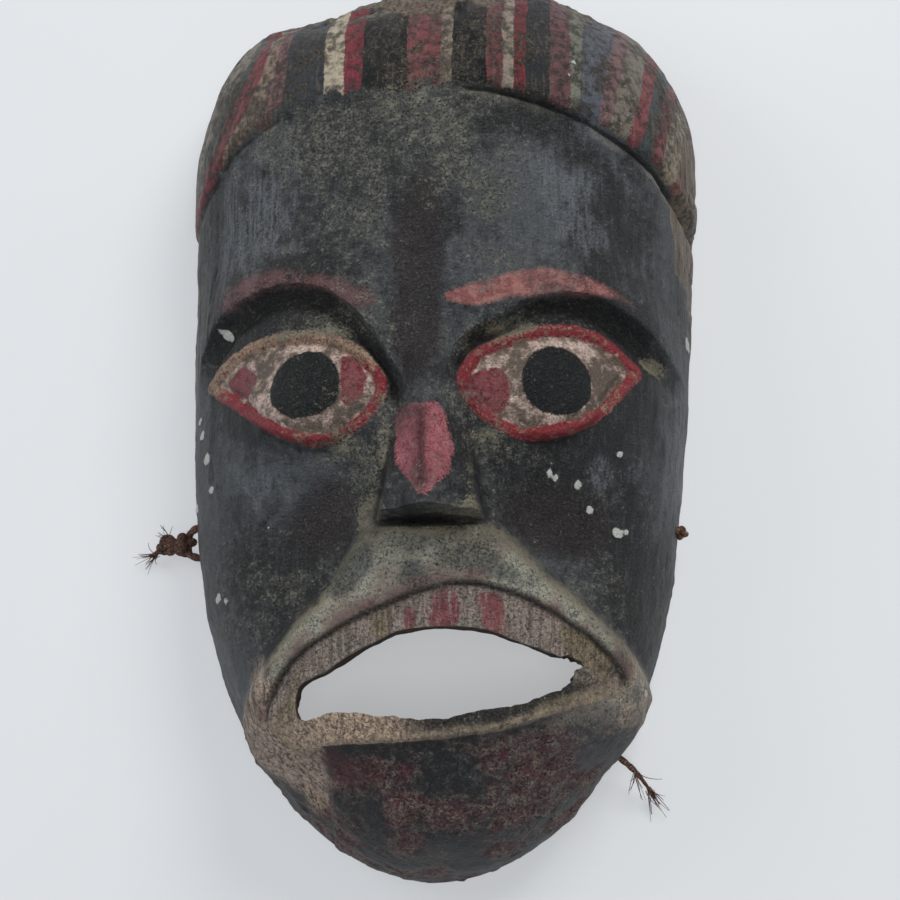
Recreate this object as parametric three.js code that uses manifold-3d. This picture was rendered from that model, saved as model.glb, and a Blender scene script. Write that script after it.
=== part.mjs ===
// A hand-carved wooden ritual mask, painted black and red, with the remains of its two cord ties.
// Millimetres. The mask lies on its open back: the rim's plane is z = 0 and the face looks up, along +Z.
// +Y runs from the chin to the crown and +X to the right as the face is looked at.
// The origin is on the rim's plane, in the middle of the rim's box.
import * as THREE from "three";
import { mergeVertices } from "three/addons/utils/BufferGeometryUtils.js";
import Module from "manifold-3d";

const wasm = await Module();
wasm.setup();

// Driving sizes of the shell
const HEIGHT = 296;
const WIDTH = 168;
const FACE_DEPTH = 72;
const WALL = 8;
const CHIN_LEAN = 3;

// How round the shell is: the exponents of its curves, and how its jaw narrows from the shoulder down
const SECTION_POWER = 2.35;
const CROWN_OUTLINE_POWER = 2.5;
const JAW_OUTLINE_POWER = 4.1;
const JAW_OUTLINE_ROOT = 1.85;
const CROWN_PROFILE_POWER = 6.5;
const CHIN_PROFILE_POWER = 3.2;
const SHOULDER = 0.5;
const JAW_TAPER = 0.075;

// Heights of the carving above the shell, or depths below it
const BAND_RAISE = 2.8;
const BROW_RAISE = 3.8;
const SOCKET_DEPTH = 7;
const EYE_RIM_RAISE = 4.4;
const EYE_BULGE = 5.5;
const NOSE_BRIDGE_RAISE = 6;
const NOSE_TIP_RAISE = 25;
const NOSTRIL_RAISE = 14;
const CHEEK_DEPTH = 8;
const MUZZLE_RAISE = 7;
const UPPER_LIP_DROP = 2;
const LOWER_LIP_RAISE = 2;
const CHIN_RAISE = 6;

// How far the carving's slopes reach, square to its edges
const STEP = 1.2;
const EYE_STEP = 1.6;
const EYEBALL_EDGE = 6;
const BROW_WIDTH = 24;
const SOCKET_FLOOR = 24;
const SOCKET_HEIGHT = 50;
const MUZZLE_SLOPE = 4;
const RIM_FADE = 22;

// The cord ties and their holes
const CORD_DIAMETER = 2.6;
const HOLE_CLEARANCE = 0.6;
const TIE_HOLE_HEIGHT = 10;
const LEFT_HOLE_SPACING = 10;
const KNOT_DIAMETER = 7.4;
const STOP_KNOT_DIAMETER = 5;
const KNOT_STANDOFF = 2.3;
const TAIL_LENGTH = 14;
const FACE_GAP = 0.3;

// How many grid lines the surfaces have, and how much closer these lie over the carved face
const FACE_GRID = { rows: 76, columns: 42, fineness: 1.6 };
const HOLLOW_GRID = { rows: 26, columns: 20, fineness: 0.4 };
const OUTLINE_DIVISIONS = 60;

const HALF_WIDTH = WIDTH / 2;
const HALF_HEIGHT = HEIGHT / 2;
const CORD_RADIUS = CORD_DIAMETER / 2;

// Places on the face, as [across, up] in shares of half the width and half the height
const BAND_EDGE = [
  [-0.92, 0.476], [-0.75, 0.562], [-0.5, 0.611], [-0.186, 0.637], [0.137, 0.647],
  [0.437, 0.61], [0.642, 0.565], [0.83, 0.51], [0.935, 0.448],
];
const BROW_EDGE = {
  left: [
    [-0.92, 0.06], [-0.842, 0.127], [-0.727, 0.174], [-0.561, 0.203], [-0.4, 0.19],
    [-0.286, 0.146], [-0.202, 0.089], [-0.12, 0.01],
  ],
  right: [
    [0.06, 0.02], [0.15, 0.076], [0.265, 0.111], [0.338, 0.143], [0.43, 0.163],
    [0.575, 0.17], [0.719, 0.136], [0.811, 0.098], [0.9, 0.06],
  ],
};
const EYE_OUTLINE = {
  left: [
    [-0.87, 0.036], [-0.796, 0.078], [-0.664, 0.103], [-0.481, 0.111], [-0.307, 0.086],
    [-0.193, 0.034], [-0.144, -0.028], [-0.211, -0.09], [-0.302, -0.125], [-0.417, -0.141],
    [-0.555, -0.114], [-0.724, -0.043],
  ],
  right: [
    [0.111, -0.021], [0.155, 0.043], [0.3, 0.087], [0.482, 0.113], [0.626, 0.102],
    [0.717, 0.067], [0.775, 0.036], [0.713, -0.02], [0.62, -0.082], [0.476, -0.128],
    [0.332, -0.132], [0.19, -0.095],
  ],
};
const EYEBALL = {
  left: { across: -0.44, up: -0.014, wide: 0.28, tall: 0.12 },
  right: { across: 0.475, up: -0.01, wide: 0.28, tall: 0.12 },
};
const MUZZLE_EDGE = [
  [-0.8, -0.72], [-0.662, -0.621], [-0.502, -0.516], [-0.348, -0.424], [-0.218, -0.328],
  [0, -0.311], [0.227, -0.322], [0.4, -0.399], [0.573, -0.482], [0.727, -0.575], [0.82, -0.65],
];
const LIP_OUTLINE = [
  [-0.571, -0.66], [-0.549, -0.632], [-0.462, -0.57], [-0.31, -0.517], [-0.127, -0.472],
  [0.015, -0.444], [0.156, -0.435], [0.295, -0.453], [0.433, -0.49], [0.57, -0.542],
  [0.624, -0.586], [0.636, -0.633], [0.529, -0.667], [0.318, -0.711], [0.071, -0.741],
  [-0.107, -0.75], [-0.364, -0.742], [-0.448, -0.755], [-0.545, -0.716],
];
const MOUTH_OUTLINE = [
  [-0.475, -0.636], [-0.35, -0.599], [-0.201, -0.555], [-0.093, -0.531], [0.049, -0.523],
  [0.188, -0.529], [0.326, -0.551], [0.464, -0.576], [0.544, -0.586], [0.514, -0.616],
  [0.461, -0.641], [0.32, -0.674], [0.18, -0.69], [0.038, -0.707], [-0.104, -0.703],
  [-0.321, -0.689], [-0.47, -0.696],
];
const NOSE = { middle: 0.012, top: 0.14, tip: -0.303, topHalf: 0.11, wingHalf: 0.2 };
const CHEEKS = [
  { across: -0.46, up: -0.33, wide: 0.24, tall: 0.17, depth: 1 },
  { across: 0.5, up: -0.3, wide: 0.24, tall: 0.16, depth: 1 },
  { across: -0.29, up: -0.22, wide: 0.13, tall: 0.1, depth: 0.45 },
  { across: 0.32, up: -0.23, wide: 0.13, tall: 0.1, depth: 0.45 },
];
const CHIN = { across: 0.06, up: -0.84, wide: 0.48, tall: 0.12, leftEdge: -0.38 };
const TIES = { leftUp: -0.26, rightUp: -0.255, lowUp: -0.735 };

// An S-shaped step that is 0 at one value and 1 at the other, whichever of them is greater
function smooth(zeroAt, oneAt, value) {
  const t = THREE.MathUtils.clamp((value - zeroAt) / (oneAt - zeroAt), 0, 1);
  return t * t * (3 - 2 * t);
}

function bump(offset) {
  return Math.exp(-offset * offset);
}

// A smooth height over the width through [across, up] points, going on straight past its ends
function curveOver(points) {
  const last = points.length - 1;
  const slope = points.map((_, i) => {
    const before = points[Math.max(i - 1, 0)];
    const after = points[Math.min(i + 1, last)];
    return (after[1] - before[1]) / (after[0] - before[0]);
  });
  return (across) => {
    if (across <= points[0][0]) return points[0][1] + slope[0] * (across - points[0][0]);
    if (across >= points[last][0]) return points[last][1] + slope[last] * (across - points[last][0]);
    const i = points.findIndex((p) => p[0] > across) - 1;
    const span = points[i + 1][0] - points[i][0];
    const t = (across - points[i][0]) / span;
    return (
      (2 * t ** 3 - 3 * t ** 2 + 1) * points[i][1] +
      (t ** 3 - 2 * t ** 2 + t) * span * slope[i] +
      (3 * t ** 2 - 2 * t ** 3) * points[i + 1][1] +
      (t ** 3 - t ** 2) * span * slope[i + 1]
    );
  };
}

// How far a place lies above a curve, square to it, in millimetres
function above(curve, across, up) {
  const near = 0.01;
  const rise = (curve(across + near) - curve(across - near)) / (2 * near);
  const slope = (rise * HALF_HEIGHT) / HALF_WIDTH;
  return ((up - curve(across)) * HALF_HEIGHT) / Math.hypot(1, slope);
}

// A smooth closed outline through [across, up] points, in millimetres
function outlineOf(points) {
  const corners = points.map(
    ([across, up]) => new THREE.Vector3(across * HALF_WIDTH, up * HALF_HEIGHT, 0),
  );
  return new THREE.CatmullRomCurve3(corners, true, "centripetal").getPoints(OUTLINE_DIVISIONS).slice(0, -1);
}

// How far a place lies inside a closed outline, in millimetres; negative outside
function inside(outline, across, up) {
  const x = across * HALF_WIDTH;
  const y = up * HALF_HEIGHT;
  let nearest = Infinity;
  let within = false;
  outline.forEach((a, i) => {
    const b = outline[(i + 1) % outline.length];
    const dx = b.x - a.x;
    const dy = b.y - a.y;
    const t = THREE.MathUtils.clamp(((x - a.x) * dx + (y - a.y) * dy) / (dx * dx + dy * dy), 0, 1);
    nearest = Math.min(nearest, Math.hypot(x - a.x - t * dx, y - a.y - t * dy));
    if (a.y > y !== b.y > y && x < a.x + ((y - a.y) * dx) / dy) within = !within;
  });
  return within ? nearest : -nearest;
}

// Half-width, height and middle of the bare shell's section across at y, drawn in by an inset
function section(y, inset) {
  const up = y / (HALF_HEIGHT - inset);
  const crown = Math.max(0, (up - SHOULDER) / (1 - SHOULDER));
  const jaw = Math.max(0, (SHOULDER - up) / (1 + SHOULDER));
  const crownShare = Math.max(0, 1 - crown ** CROWN_OUTLINE_POWER) ** (1 / CROWN_OUTLINE_POWER);
  const jawShare = Math.max(0, 1 - jaw ** JAW_OUTLINE_POWER) ** (1 / JAW_OUTLINE_ROOT);
  const power = up > 0 ? CROWN_PROFILE_POWER : CHIN_PROFILE_POWER;
  return {
    half: (HALF_WIDTH - inset) * crownShare * jawShare * (1 - JAW_TAPER * jaw),
    height: (FACE_DEPTH - inset) * Math.sqrt(Math.max(0, 1 - Math.abs(up) ** power)),
    middle: -CHIN_LEAN * smooth(SHOULDER, -SHOULDER, up),
  };
}

// A point of the bare shell: angle 0 is the right rim, a quarter turn the middle and a half turn the left rim
function shellPoint(y, angle, inset) {
  const { half, height, middle } = section(y, inset);
  const across = Math.cos(angle);
  const x = middle + half * Math.sign(across) * Math.abs(across) ** (2 / SECTION_POWER);
  const z = height * Math.max(0, Math.sin(angle)) ** (2 / SECTION_POWER);
  return new THREE.Vector3(x, y, z);
}

// The x of the bare shell's side at y and z
function sideAt(side, y, z, inset) {
  const { half, height, middle } = section(y, inset);
  return middle + side * half * Math.max(0, 1 - (z / height) ** SECTION_POWER) ** (1 / SECTION_POWER);
}

const bandEdge = curveOver(BAND_EDGE);
const browEdge = { left: curveOver(BROW_EDGE.left), right: curveOver(BROW_EDGE.right) };
const muzzleEdge = curveOver(MUZZLE_EDGE);
const eyeOutline = { left: outlineOf(EYE_OUTLINE.left), right: outlineOf(EYE_OUTLINE.right) };
const lipOutline = outlineOf(LIP_OUTLINE);
const mouthOutline = outlineOf(MOUTH_OUTLINE);

// The raised headband over the forehead, worn almost flat left of the middle and thin at its left end
function bandRelief(across, up) {
  const wornMiddle = 1 - 0.6 * bump((across + 0.2) / 0.3);
  const wornEnd = 1 - 0.6 * smooth(-0.75, -0.97, across);
  return BAND_RAISE * wornMiddle * wornEnd * smooth(-STEP, STEP, above(bandEdge, across, up));
}

// How much of a brow is there: it fades out at the nose and at the temple
function browSpan(across, side) {
  const lengthwise = side === "left" ? -across : across;
  return smooth(0.02, 0.16, lengthwise) * smooth(0.97, 0.78, lengthwise);
}

// The ridge over a brow's edge
function browRelief(across, up, side) {
  const height = above(browEdge[side], across, up);
  return BROW_RAISE * browSpan(across, side) * smooth(-STEP, STEP, height) * smooth(BROW_WIDTH, STEP, height);
}

// The socket under a brow's edge
function socketRelief(across, up, side) {
  const drop = -above(browEdge[side], across, up);
  const floor = smooth(-STEP, STEP, drop) * smooth(SOCKET_HEIGHT, SOCKET_FLOOR, drop);
  return -SOCKET_DEPTH * browSpan(across, side) * floor;
}

// An eye: its raised rim, and the rounded eyeball inside it
function eyeRelief(across, up, side) {
  const depth = inside(eyeOutline[side], across, up);
  const ball = EYEBALL[side];
  const round = bump((across - ball.across) / ball.wide) * bump((up - ball.up) / ball.tall);
  return EYE_RIM_RAISE * smooth(-EYE_STEP, EYE_STEP, depth) + EYE_BULGE * round * smooth(-1, EYEBALL_EDGE, depth);
}

// The nose: a ridge that widens from the bridge to the wings and ends in a flat underside
function noseRelief(across, up) {
  const along = (NOSE.top - up) / (NOSE.top - NOSE.tip);
  if (along <= 0) return 0;
  const run = Math.min(along, 1);
  const half = NOSE.topHalf + (NOSE.wingHalf - NOSE.topHalf) * run ** 2;
  const offset = Math.abs(across - NOSE.middle) / half;
  const crest = NOSE_BRIDGE_RAISE * smooth(0, 0.3, run) + (NOSE_TIP_RAISE - NOSE_BRIDGE_RAISE) * run ** 1.7;
  const ridge = crest * Math.max(0, 1 - offset ** 1.3);
  const wings = NOSTRIL_RAISE * smooth(0.5, 0.95, run) * smooth(1.05, 0.75, offset);
  const underside = smooth(-STEP, STEP, (up - NOSE.tip) * HALF_HEIGHT);
  return Math.max(ridge, wings) * underside;
}

// The hollows of the cheeks
function cheekRelief(across, up) {
  return CHEEKS.reduce(
    (sum, c) => sum - CHEEK_DEPTH * c.depth * bump((across - c.across) / c.wide) * bump((up - c.up) / c.tall),
    0,
  );
}

// The muzzle that carries the mouth
function muzzleRelief(across, up) {
  const below = -above(muzzleEdge, across, up);
  const ends = smooth(0.82, 0.62, Math.abs(across - 0.03)) * smooth(-0.82, -0.66, up);
  return MUZZLE_RAISE * smooth(-MUZZLE_SLOPE, MUZZLE_SLOPE, below) * ends;
}

// The lips' ring: the upper lip lies lower than the muzzle, and the lower lip is fuller
function lipRelief(across, up) {
  const lower = smooth(-0.62, -0.68, up);
  const height = LOWER_LIP_RAISE * lower - UPPER_LIP_DROP * (1 - lower);
  return height * smooth(-STEP, STEP, inside(lipOutline, across, up));
}

// The chin, with a sharp left edge
function chinRelief(across, up) {
  const wide = bump((across - CHIN.across) / CHIN.wide) * smooth(-0.03, 0.03, across - CHIN.leftEdge);
  return CHIN_RAISE * wide * bump((up - CHIN.up) / CHIN.tall);
}

// Everything that is carved
function carving(across, up) {
  const side = across < NOSE.middle ? "left" : "right";
  const eye = socketRelief(across, up, side) + eyeRelief(across, up, side);
  return (
    Math.max(noseRelief(across, up), browRelief(across, up, side) + eye) +
    bandRelief(across, up) +
    cheekRelief(across, up) +
    muzzleRelief(across, up) +
    lipRelief(across, up) +
    chinRelief(across, up)
  );
}

// The broad forms alone, which the hollow follows
function broadForms(across, up) {
  const side = across < NOSE.middle ? "left" : "right";
  return (
    0.7 * socketRelief(across, up, side) +
    cheekRelief(across, up) +
    muzzleRelief(across, up) +
    chinRelief(across, up)
  );
}

// Places from 0 to 1 along a line of points, evenly spread once each stretch is weighed
function spread(points, weigh, count) {
  const along = [0];
  for (let i = 1; i < points.length; i++) {
    const middle = points[i].clone().add(points[i - 1]).multiplyScalar(0.5);
    along.push(along[i - 1] + points[i].distanceTo(points[i - 1]) * weigh(middle));
  }
  const total = along[along.length - 1];
  return Array.from({ length: count + 1 }, (_, k) => {
    const want = (total * k) / count;
    const i = Math.min(along.length - 2, Math.max(0, along.findIndex((s) => s >= want) - 1));
    return (i + (want - along[i]) / (along[i + 1] - along[i])) / (points.length - 1);
  });
}

// The rows' y from chin to crown and the columns' angles, closer together over the carved face
function gridOf(inset, { rows, columns, fineness }) {
  const samples = 400;
  const reach = HALF_HEIGHT - inset;
  const profile = Array.from({ length: samples + 1 }, (_, i) => {
    const y = -reach * Math.cos((Math.PI * i) / samples);
    return new THREE.Vector3(0, y, section(y, inset).height);
  });
  const girth = Array.from({ length: samples + 1 }, (_, i) => shellPoint(0, (Math.PI * i) / samples, inset));
  const overFace = (p) => 1 + fineness * smooth(-0.84, -0.76, p.y / reach) * smooth(0.3, 0.2, p.y / reach);
  const overFront = (p) => 1 + fineness * smooth(0.86, 0.7, Math.abs(p.x) / HALF_WIDTH);
  return {
    ys: spread(profile, overFace, rows).map((t) => -reach * Math.cos(Math.PI * t)),
    angles: spread(girth, overFront, columns).map((t) => Math.PI * t),
  };
}

// The shell's skin, carved along its normals by a relief that fades out towards the rim's plane
function skin(inset, grid, relief) {
  const bare = grid.ys.map((y) => grid.angles.map((angle) => shellPoint(y, angle, inset)));
  const lastRow = bare.length - 1;
  const lastColumn = grid.angles.length - 1;
  const upward = new THREE.Vector3();
  const sideways = new THREE.Vector3();
  const heights = bare.map((row, r) =>
    row.map((point) => {
      const carved = relief(point.x / HALF_WIDTH, point.y / HALF_HEIGHT) * smooth(0, RIM_FADE, point.z);
      return r === 0 || r === lastRow ? 0 : carved;
    }),
  );
  const rows = bare.map((row, r) =>
    row.map((point, c) => {
      if (heights[r][c] === 0) return point.clone();
      upward.subVectors(bare[r + 1][c], bare[r - 1][c]);
      sideways.subVectors(row[Math.min(c + 1, lastColumn)], row[Math.max(c - 1, 0)]);
      const normal = new THREE.Vector3().crossVectors(upward, sideways).normalize();
      return point.clone().addScaledVector(normal, heights[r][c]);
    }),
  );
  return { rows, heights };
}

// A closed body from rows of equally many points, each row a closed loop; each quad is folded along
// the diagonal whose ends differ less in height, so that slanting edges come out clean
function loft(rows, heights) {
  const count = rows[0].length;
  const index = [];
  for (let r = 0; r + 1 < rows.length; r++) {
    for (let c = 0; c < count; c++) {
      const next = (c + 1) % count;
      const a = r * count + c;
      const b = r * count + next;
      const rising = Math.abs((heights[r][c] ?? 0) - (heights[r + 1][next] ?? 0));
      const falling = Math.abs((heights[r][next] ?? 0) - (heights[r + 1][c] ?? 0));
      if (rising < falling) index.push(a, a + count, b + count, a, b + count, b);
      else index.push(a, a + count, b, b, a + count, b + count);
    }
  }
  const geometry = new THREE.BufferGeometry().setFromPoints(rows.flat());
  geometry.setIndex(index);
  return geometry;
}

// A solid from a closed geometry, once the triangles that its merged corners leave flat are gone
function solidOf(geometry) {
  const bare = geometry.index ? geometry.toNonIndexed() : geometry.clone();
  bare.deleteAttribute("normal");
  bare.deleteAttribute("uv");
  const merged = mergeVertices(bare, 1e-3);
  const triVerts = [];
  const index = merged.index.array;
  for (let i = 0; i < index.length; i += 3) {
    const [a, b, c] = [index[i], index[i + 1], index[i + 2]];
    if (a !== b && b !== c && c !== a) triVerts.push(a, b, c);
  }
  return new wasm.Manifold(
    new wasm.Mesh({
      numProp: 3,
      vertProperties: merged.attributes.position.array,
      triVerts: new Uint32Array(triVerts),
    }),
  );
}

function geometryOf(solid) {
  const mesh = solid.getMesh();
  const geometry = new THREE.BufferGeometry();
  geometry.setAttribute("position", new THREE.BufferAttribute(mesh.vertProperties, 3));
  geometry.setIndex(new THREE.BufferAttribute(mesh.triVerts, 1));
  geometry.computeVertexNormals();
  return geometry;
}

// The solid under a skin: closed flat at the rim, or taken down below it
function bodyOf({ rows, heights }, floor) {
  const closed = rows.map((row) => {
    const right = row[0].clone().setZ(floor);
    const left = row[row.length - 1].clone().setZ(floor);
    return floor < 0 ? [...row, left, right] : row;
  });
  return solidOf(loft(closed, heights));
}

// A round bar between two points
function bar(from, to, radius) {
  const direction = new THREE.Vector3().subVectors(to, from);
  const upright = new THREE.Vector3(0, 1, 0);
  const turn = new THREE.Quaternion().setFromUnitVectors(upright, direction.clone().normalize());
  const geometry = new THREE.CylinderGeometry(radius, radius, direction.length(), 10);
  return geometry.applyQuaternion(turn).translate(...from.clone().add(to).multiplyScalar(0.5));
}

// A tie's passage through the wall at a share of the height: its outer mouth, and its way out
function passage(side, up) {
  const y = up * HALF_HEIGHT;
  const near = 1;
  const lean = sideAt(side, y + near, TIE_HOLE_HEIGHT, 0) - sideAt(side, y - near, TIE_HOLE_HEIGHT, 0);
  const out = new THREE.Vector3(2 * near * side, -side * lean, 0).normalize();
  return { mouth: new THREE.Vector3(sideAt(side, y, TIE_HOLE_HEIGHT, 0), y, TIE_HOLE_HEIGHT), out };
}

// A place on a passage's line, measured outwards from its outer mouth or inwards from its inner one
function beyond(hole, distance) {
  return hole.mouth.clone().addScaledVector(hole.out, distance);
}

function within(hole, distance) {
  return beyond(hole, -WALL - distance);
}

const halfSpacing = LEFT_HOLE_SPACING / HEIGHT;
const passages = {
  leftTop: passage(-1, TIES.leftUp + halfSpacing),
  leftLow: passage(-1, TIES.leftUp - halfSpacing),
  right: passage(1, TIES.rightUp),
  low: passage(1, TIES.lowUp),
};

function mouthCutter() {
  const shape = new THREE.Shape(mouthOutline.map((p) => new THREE.Vector2(p.x, p.y)));
  const reach = FACE_DEPTH + NOSE_TIP_RAISE;
  return new THREE.ExtrudeGeometry(shape, { depth: reach, bevelEnabled: false }).translate(0, 0, WALL);
}

function carvedMask() {
  const face = skin(0, gridOf(0, FACE_GRID), carving);
  const hollow = skin(WALL, gridOf(WALL, HOLLOW_GRID), broadForms);
  let solid = bodyOf(face, 0).subtract(bodyOf(hollow, -WALL)).subtract(solidOf(mouthCutter()));
  for (const hole of Object.values(passages)) {
    const drill = bar(beyond(hole, WALL), within(hole, WALL), CORD_RADIUS + HOLE_CLEARANCE);
    solid = solid.subtract(solidOf(drill));
  }
  return geometryOf(solid);
}

// A cord: a round section swept along a smooth route
function cordAlong(points, steps) {
  const round = new THREE.Shape();
  round.absarc(0, 0, CORD_RADIUS, 0, 2 * Math.PI, false);
  return new THREE.ExtrudeGeometry(round, {
    steps,
    curveSegments: 4,
    bevelEnabled: false,
    extrudePath: new THREE.CatmullRomCurve3(points, false, "centripetal"),
  });
}

// A knot's outer form: a ball with the lumps of its wound strands, and how far it reaches
const KNOT_REACH = 1.12;

function knotBall(middle, diameter) {
  const radius = diameter / 2;
  const ball = new THREE.SphereGeometry(radius, 12, 8);
  const place = ball.attributes.position;
  const p = new THREE.Vector3();
  for (let i = 0; i < place.count; i++) {
    p.fromBufferAttribute(place, i);
    const lump = 1 + 0.06 * Math.sin((3.2 * p.x + 2.6 * p.z) / radius);
    p.multiplyScalar(lump).multiply(new THREE.Vector3(0.94, 1.04, 0.96));
    place.setXYZ(i, p.x, p.y, p.z);
  }
  return ball.translate(middle.x, middle.y, middle.z);
}

const knotReach = (KNOT_DIAMETER / 2) * KNOT_REACH;

// The two left knots hang from the holes beside the wall, the outer one just over the floor
function leftKnotMiddles() {
  const wall = sideAt(-1, TIES.leftUp * HALF_HEIGHT, TIE_HOLE_HEIGHT, 0);
  const lowest = knotReach + FACE_GAP;
  const x = wall - KNOT_STANDOFF - KNOT_DIAMETER / 2;
  const first = new THREE.Vector3(x, TIES.leftUp * HALF_HEIGHT, (lowest + TIE_HOLE_HEIGHT) / 2);
  const second = first.clone().setZ(lowest).add(new THREE.Vector3(-0.84 * KNOT_DIAMETER, 0.4, 0));
  return [first, second];
}

// The left knot: two knots drawn tight against each other, and the frayed end
function leftKnot() {
  const [first, second] = leftKnotMiddles();
  const end = second.clone().add(new THREE.Vector3(-0.75, -0.45, -0.13).multiplyScalar(KNOT_DIAMETER));
  const balls = solidOf(knotBall(first, KNOT_DIAMETER)).add(solidOf(knotBall(second, KNOT_DIAMETER)));
  return geometryOf(balls.add(solidOf(bar(second, end, CORD_RADIUS))));
}

// The left tie: out of the knot, in through one hole, and back out through the other
function leftCordRoute() {
  const { leftTop, leftLow } = passages;
  const away = knotReach + FACE_GAP;
  const knot = leftKnotMiddles()[0];
  const turn = LEFT_HOLE_SPACING / 2;
  const meet = (sign) => knot.clone().add(new THREE.Vector3(0.5, 0.86 * sign, 0.25).multiplyScalar(away));
  const bend = (hole, other) => within(hole, 1 + turn * 0.7).lerp(within(other, 1 + turn * 0.7), 0.15);
  return [
    meet(1),
    beyond(leftTop, 1),
    beyond(leftTop, 0),
    within(leftTop, 0),
    within(leftTop, 1),
    bend(leftTop, leftLow),
    within(leftTop, 1 + turn).lerp(within(leftLow, 1 + turn), 0.5),
    bend(leftLow, leftTop),
    within(leftLow, 1),
    within(leftLow, 0),
    beyond(leftLow, 0),
    beyond(leftLow, 1),
    meet(-1),
  ];
}

// The right stop knot sits against the wall outside its hole
function rightKnot() {
  const middle = beyond(passages.right, (STOP_KNOT_DIAMETER / 2) * KNOT_REACH + FACE_GAP);
  return knotBall(middle, STOP_KNOT_DIAMETER);
}

// The right tie: from its stop knot in through the wall, down to the floor, along the wall's foot,
// and out through the low hole, with a loose tail
function rightCordRoute() {
  const { right, low } = passages;
  const foot = CORD_RADIUS + FACE_GAP;
  const besideWall = (up, z) => {
    const y = up * HALF_HEIGHT;
    return new THREE.Vector3(sideAt(1, y, z, WALL) - CORD_DIAMETER * 1.9, y, z);
  };
  const tail = (share, z) => {
    const droop = new THREE.Vector3(0, -0.4 * TAIL_LENGTH * share * share, 0);
    return beyond(low, 1 + TAIL_LENGTH * share).add(droop).setZ(z);
  };
  return [
    beyond(right, 0),
    within(right, 0),
    within(right, 1.5),
    within(right, 4.5).add(new THREE.Vector3(0, -1.8, -1)),
    besideWall(-0.33, TIE_HOLE_HEIGHT * 0.55),
    besideWall(-0.39, foot + 1),
    besideWall(-0.46, foot),
    besideWall(-0.54, foot),
    besideWall(-0.61, foot + 1),
    within(low, 8).add(new THREE.Vector3(1, 7, -3)),
    within(low, 3),
    within(low, 0),
    beyond(low, 0),
    beyond(low, 1.5),
    tail(0.45, TIE_HOLE_HEIGHT * 0.85),
    tail(0.75, TIE_HOLE_HEIGHT * 0.55),
    tail(1, TIE_HOLE_HEIGHT * 0.3),
  ];
}

// Worn black paint over wood, and sooty plant fibre
const paintedWood = new THREE.MeshStandardMaterial({ color: 0x2b2c2c, roughness: 0.62, metalness: 0 });
const cordFibre = new THREE.MeshStandardMaterial({ color: 0x3e2c22, roughness: 0.95, metalness: 0 });

function named(name, geometry, material) {
  const mesh = new THREE.Mesh(geometry, material);
  mesh.name = name;
  return mesh;
}

const mask = new THREE.Group();
mask.add(
  named("carved_mask", carvedMask(), paintedWood),
  named("left_tie_cord", cordAlong(leftCordRoute(), 24), cordFibre),
  named("left_tie_knot", leftKnot(), cordFibre),
  named("right_tie_cord", cordAlong(rightCordRoute(), 34), cordFibre),
  named("right_tie_knot", rightKnot(), cordFibre),
);

export default mask;
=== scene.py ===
# The looks of a carved and painted ritual mask that lies face up on its open back, with what is left of
# its ties. Shapes are worked out in millimetres, in the solids' own frame, and become metres where a mesh
# is made.
import itertools
import math

import bpy
import numpy as np
from mathutils import Matrix, Vector
from mathutils.bvhtree import BVHTree
from mathutils.kdtree import KDTree


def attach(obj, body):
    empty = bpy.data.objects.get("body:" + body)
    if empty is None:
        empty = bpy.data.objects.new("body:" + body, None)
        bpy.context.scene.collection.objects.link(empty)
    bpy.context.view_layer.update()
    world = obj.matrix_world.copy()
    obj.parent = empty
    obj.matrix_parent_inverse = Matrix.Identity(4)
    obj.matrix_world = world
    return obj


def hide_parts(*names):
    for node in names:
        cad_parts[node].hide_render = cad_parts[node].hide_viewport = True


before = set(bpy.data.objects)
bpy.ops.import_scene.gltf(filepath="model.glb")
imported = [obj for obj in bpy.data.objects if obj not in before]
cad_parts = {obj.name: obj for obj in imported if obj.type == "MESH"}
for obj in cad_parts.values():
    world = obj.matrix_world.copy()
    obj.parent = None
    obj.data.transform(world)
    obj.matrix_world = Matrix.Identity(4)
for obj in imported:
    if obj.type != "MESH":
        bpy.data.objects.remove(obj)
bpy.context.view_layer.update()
MM = 0.001

# The camera: the photograph's own viewing angle, from the chin's side and slightly from the right
IMAGE_SIDE = 900
SENSOR = 36
VIEW_TARGET = (0, 0, 40)
VIEW_DISTANCE = 720
VIEW_TILT = 15
VIEW_TURN = 5
FOCAL_PIXELS = 2264
CLIP_START = 0.01
TARGET_PIXEL = (436, 401)


def view_direction():
    """From the mask towards the camera."""
    tilt, turn = math.radians(VIEW_TILT), math.radians(VIEW_TURN)
    return Vector((math.sin(turn) * math.cos(tilt), -math.sin(tilt), math.cos(turn) * math.cos(tilt)))


def make_camera():
    back = view_direction()
    right = (-back).cross(Vector((0, 1, 0))).normalized()
    up = right.cross(-back)
    camera = bpy.data.cameras.new("camera")
    camera.sensor_width = SENSOR
    camera.lens = SENSOR * FOCAL_PIXELS / IMAGE_SIDE
    camera.shift_x = 0.5 - TARGET_PIXEL[0] / IMAGE_SIDE
    camera.shift_y = TARGET_PIXEL[1] / IMAGE_SIDE - 0.5
    camera.clip_start = CLIP_START
    placed = bpy.data.objects.new("camera", camera)
    turned = Matrix((right, up, back)).transposed().to_4x4()
    placed.matrix_world = Matrix.Translation((Vector(VIEW_TARGET) + back * VIEW_DISTANCE) * MM) @ turned
    bpy.context.scene.collection.objects.link(placed)
    bpy.context.scene.camera = placed


make_camera()


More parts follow.
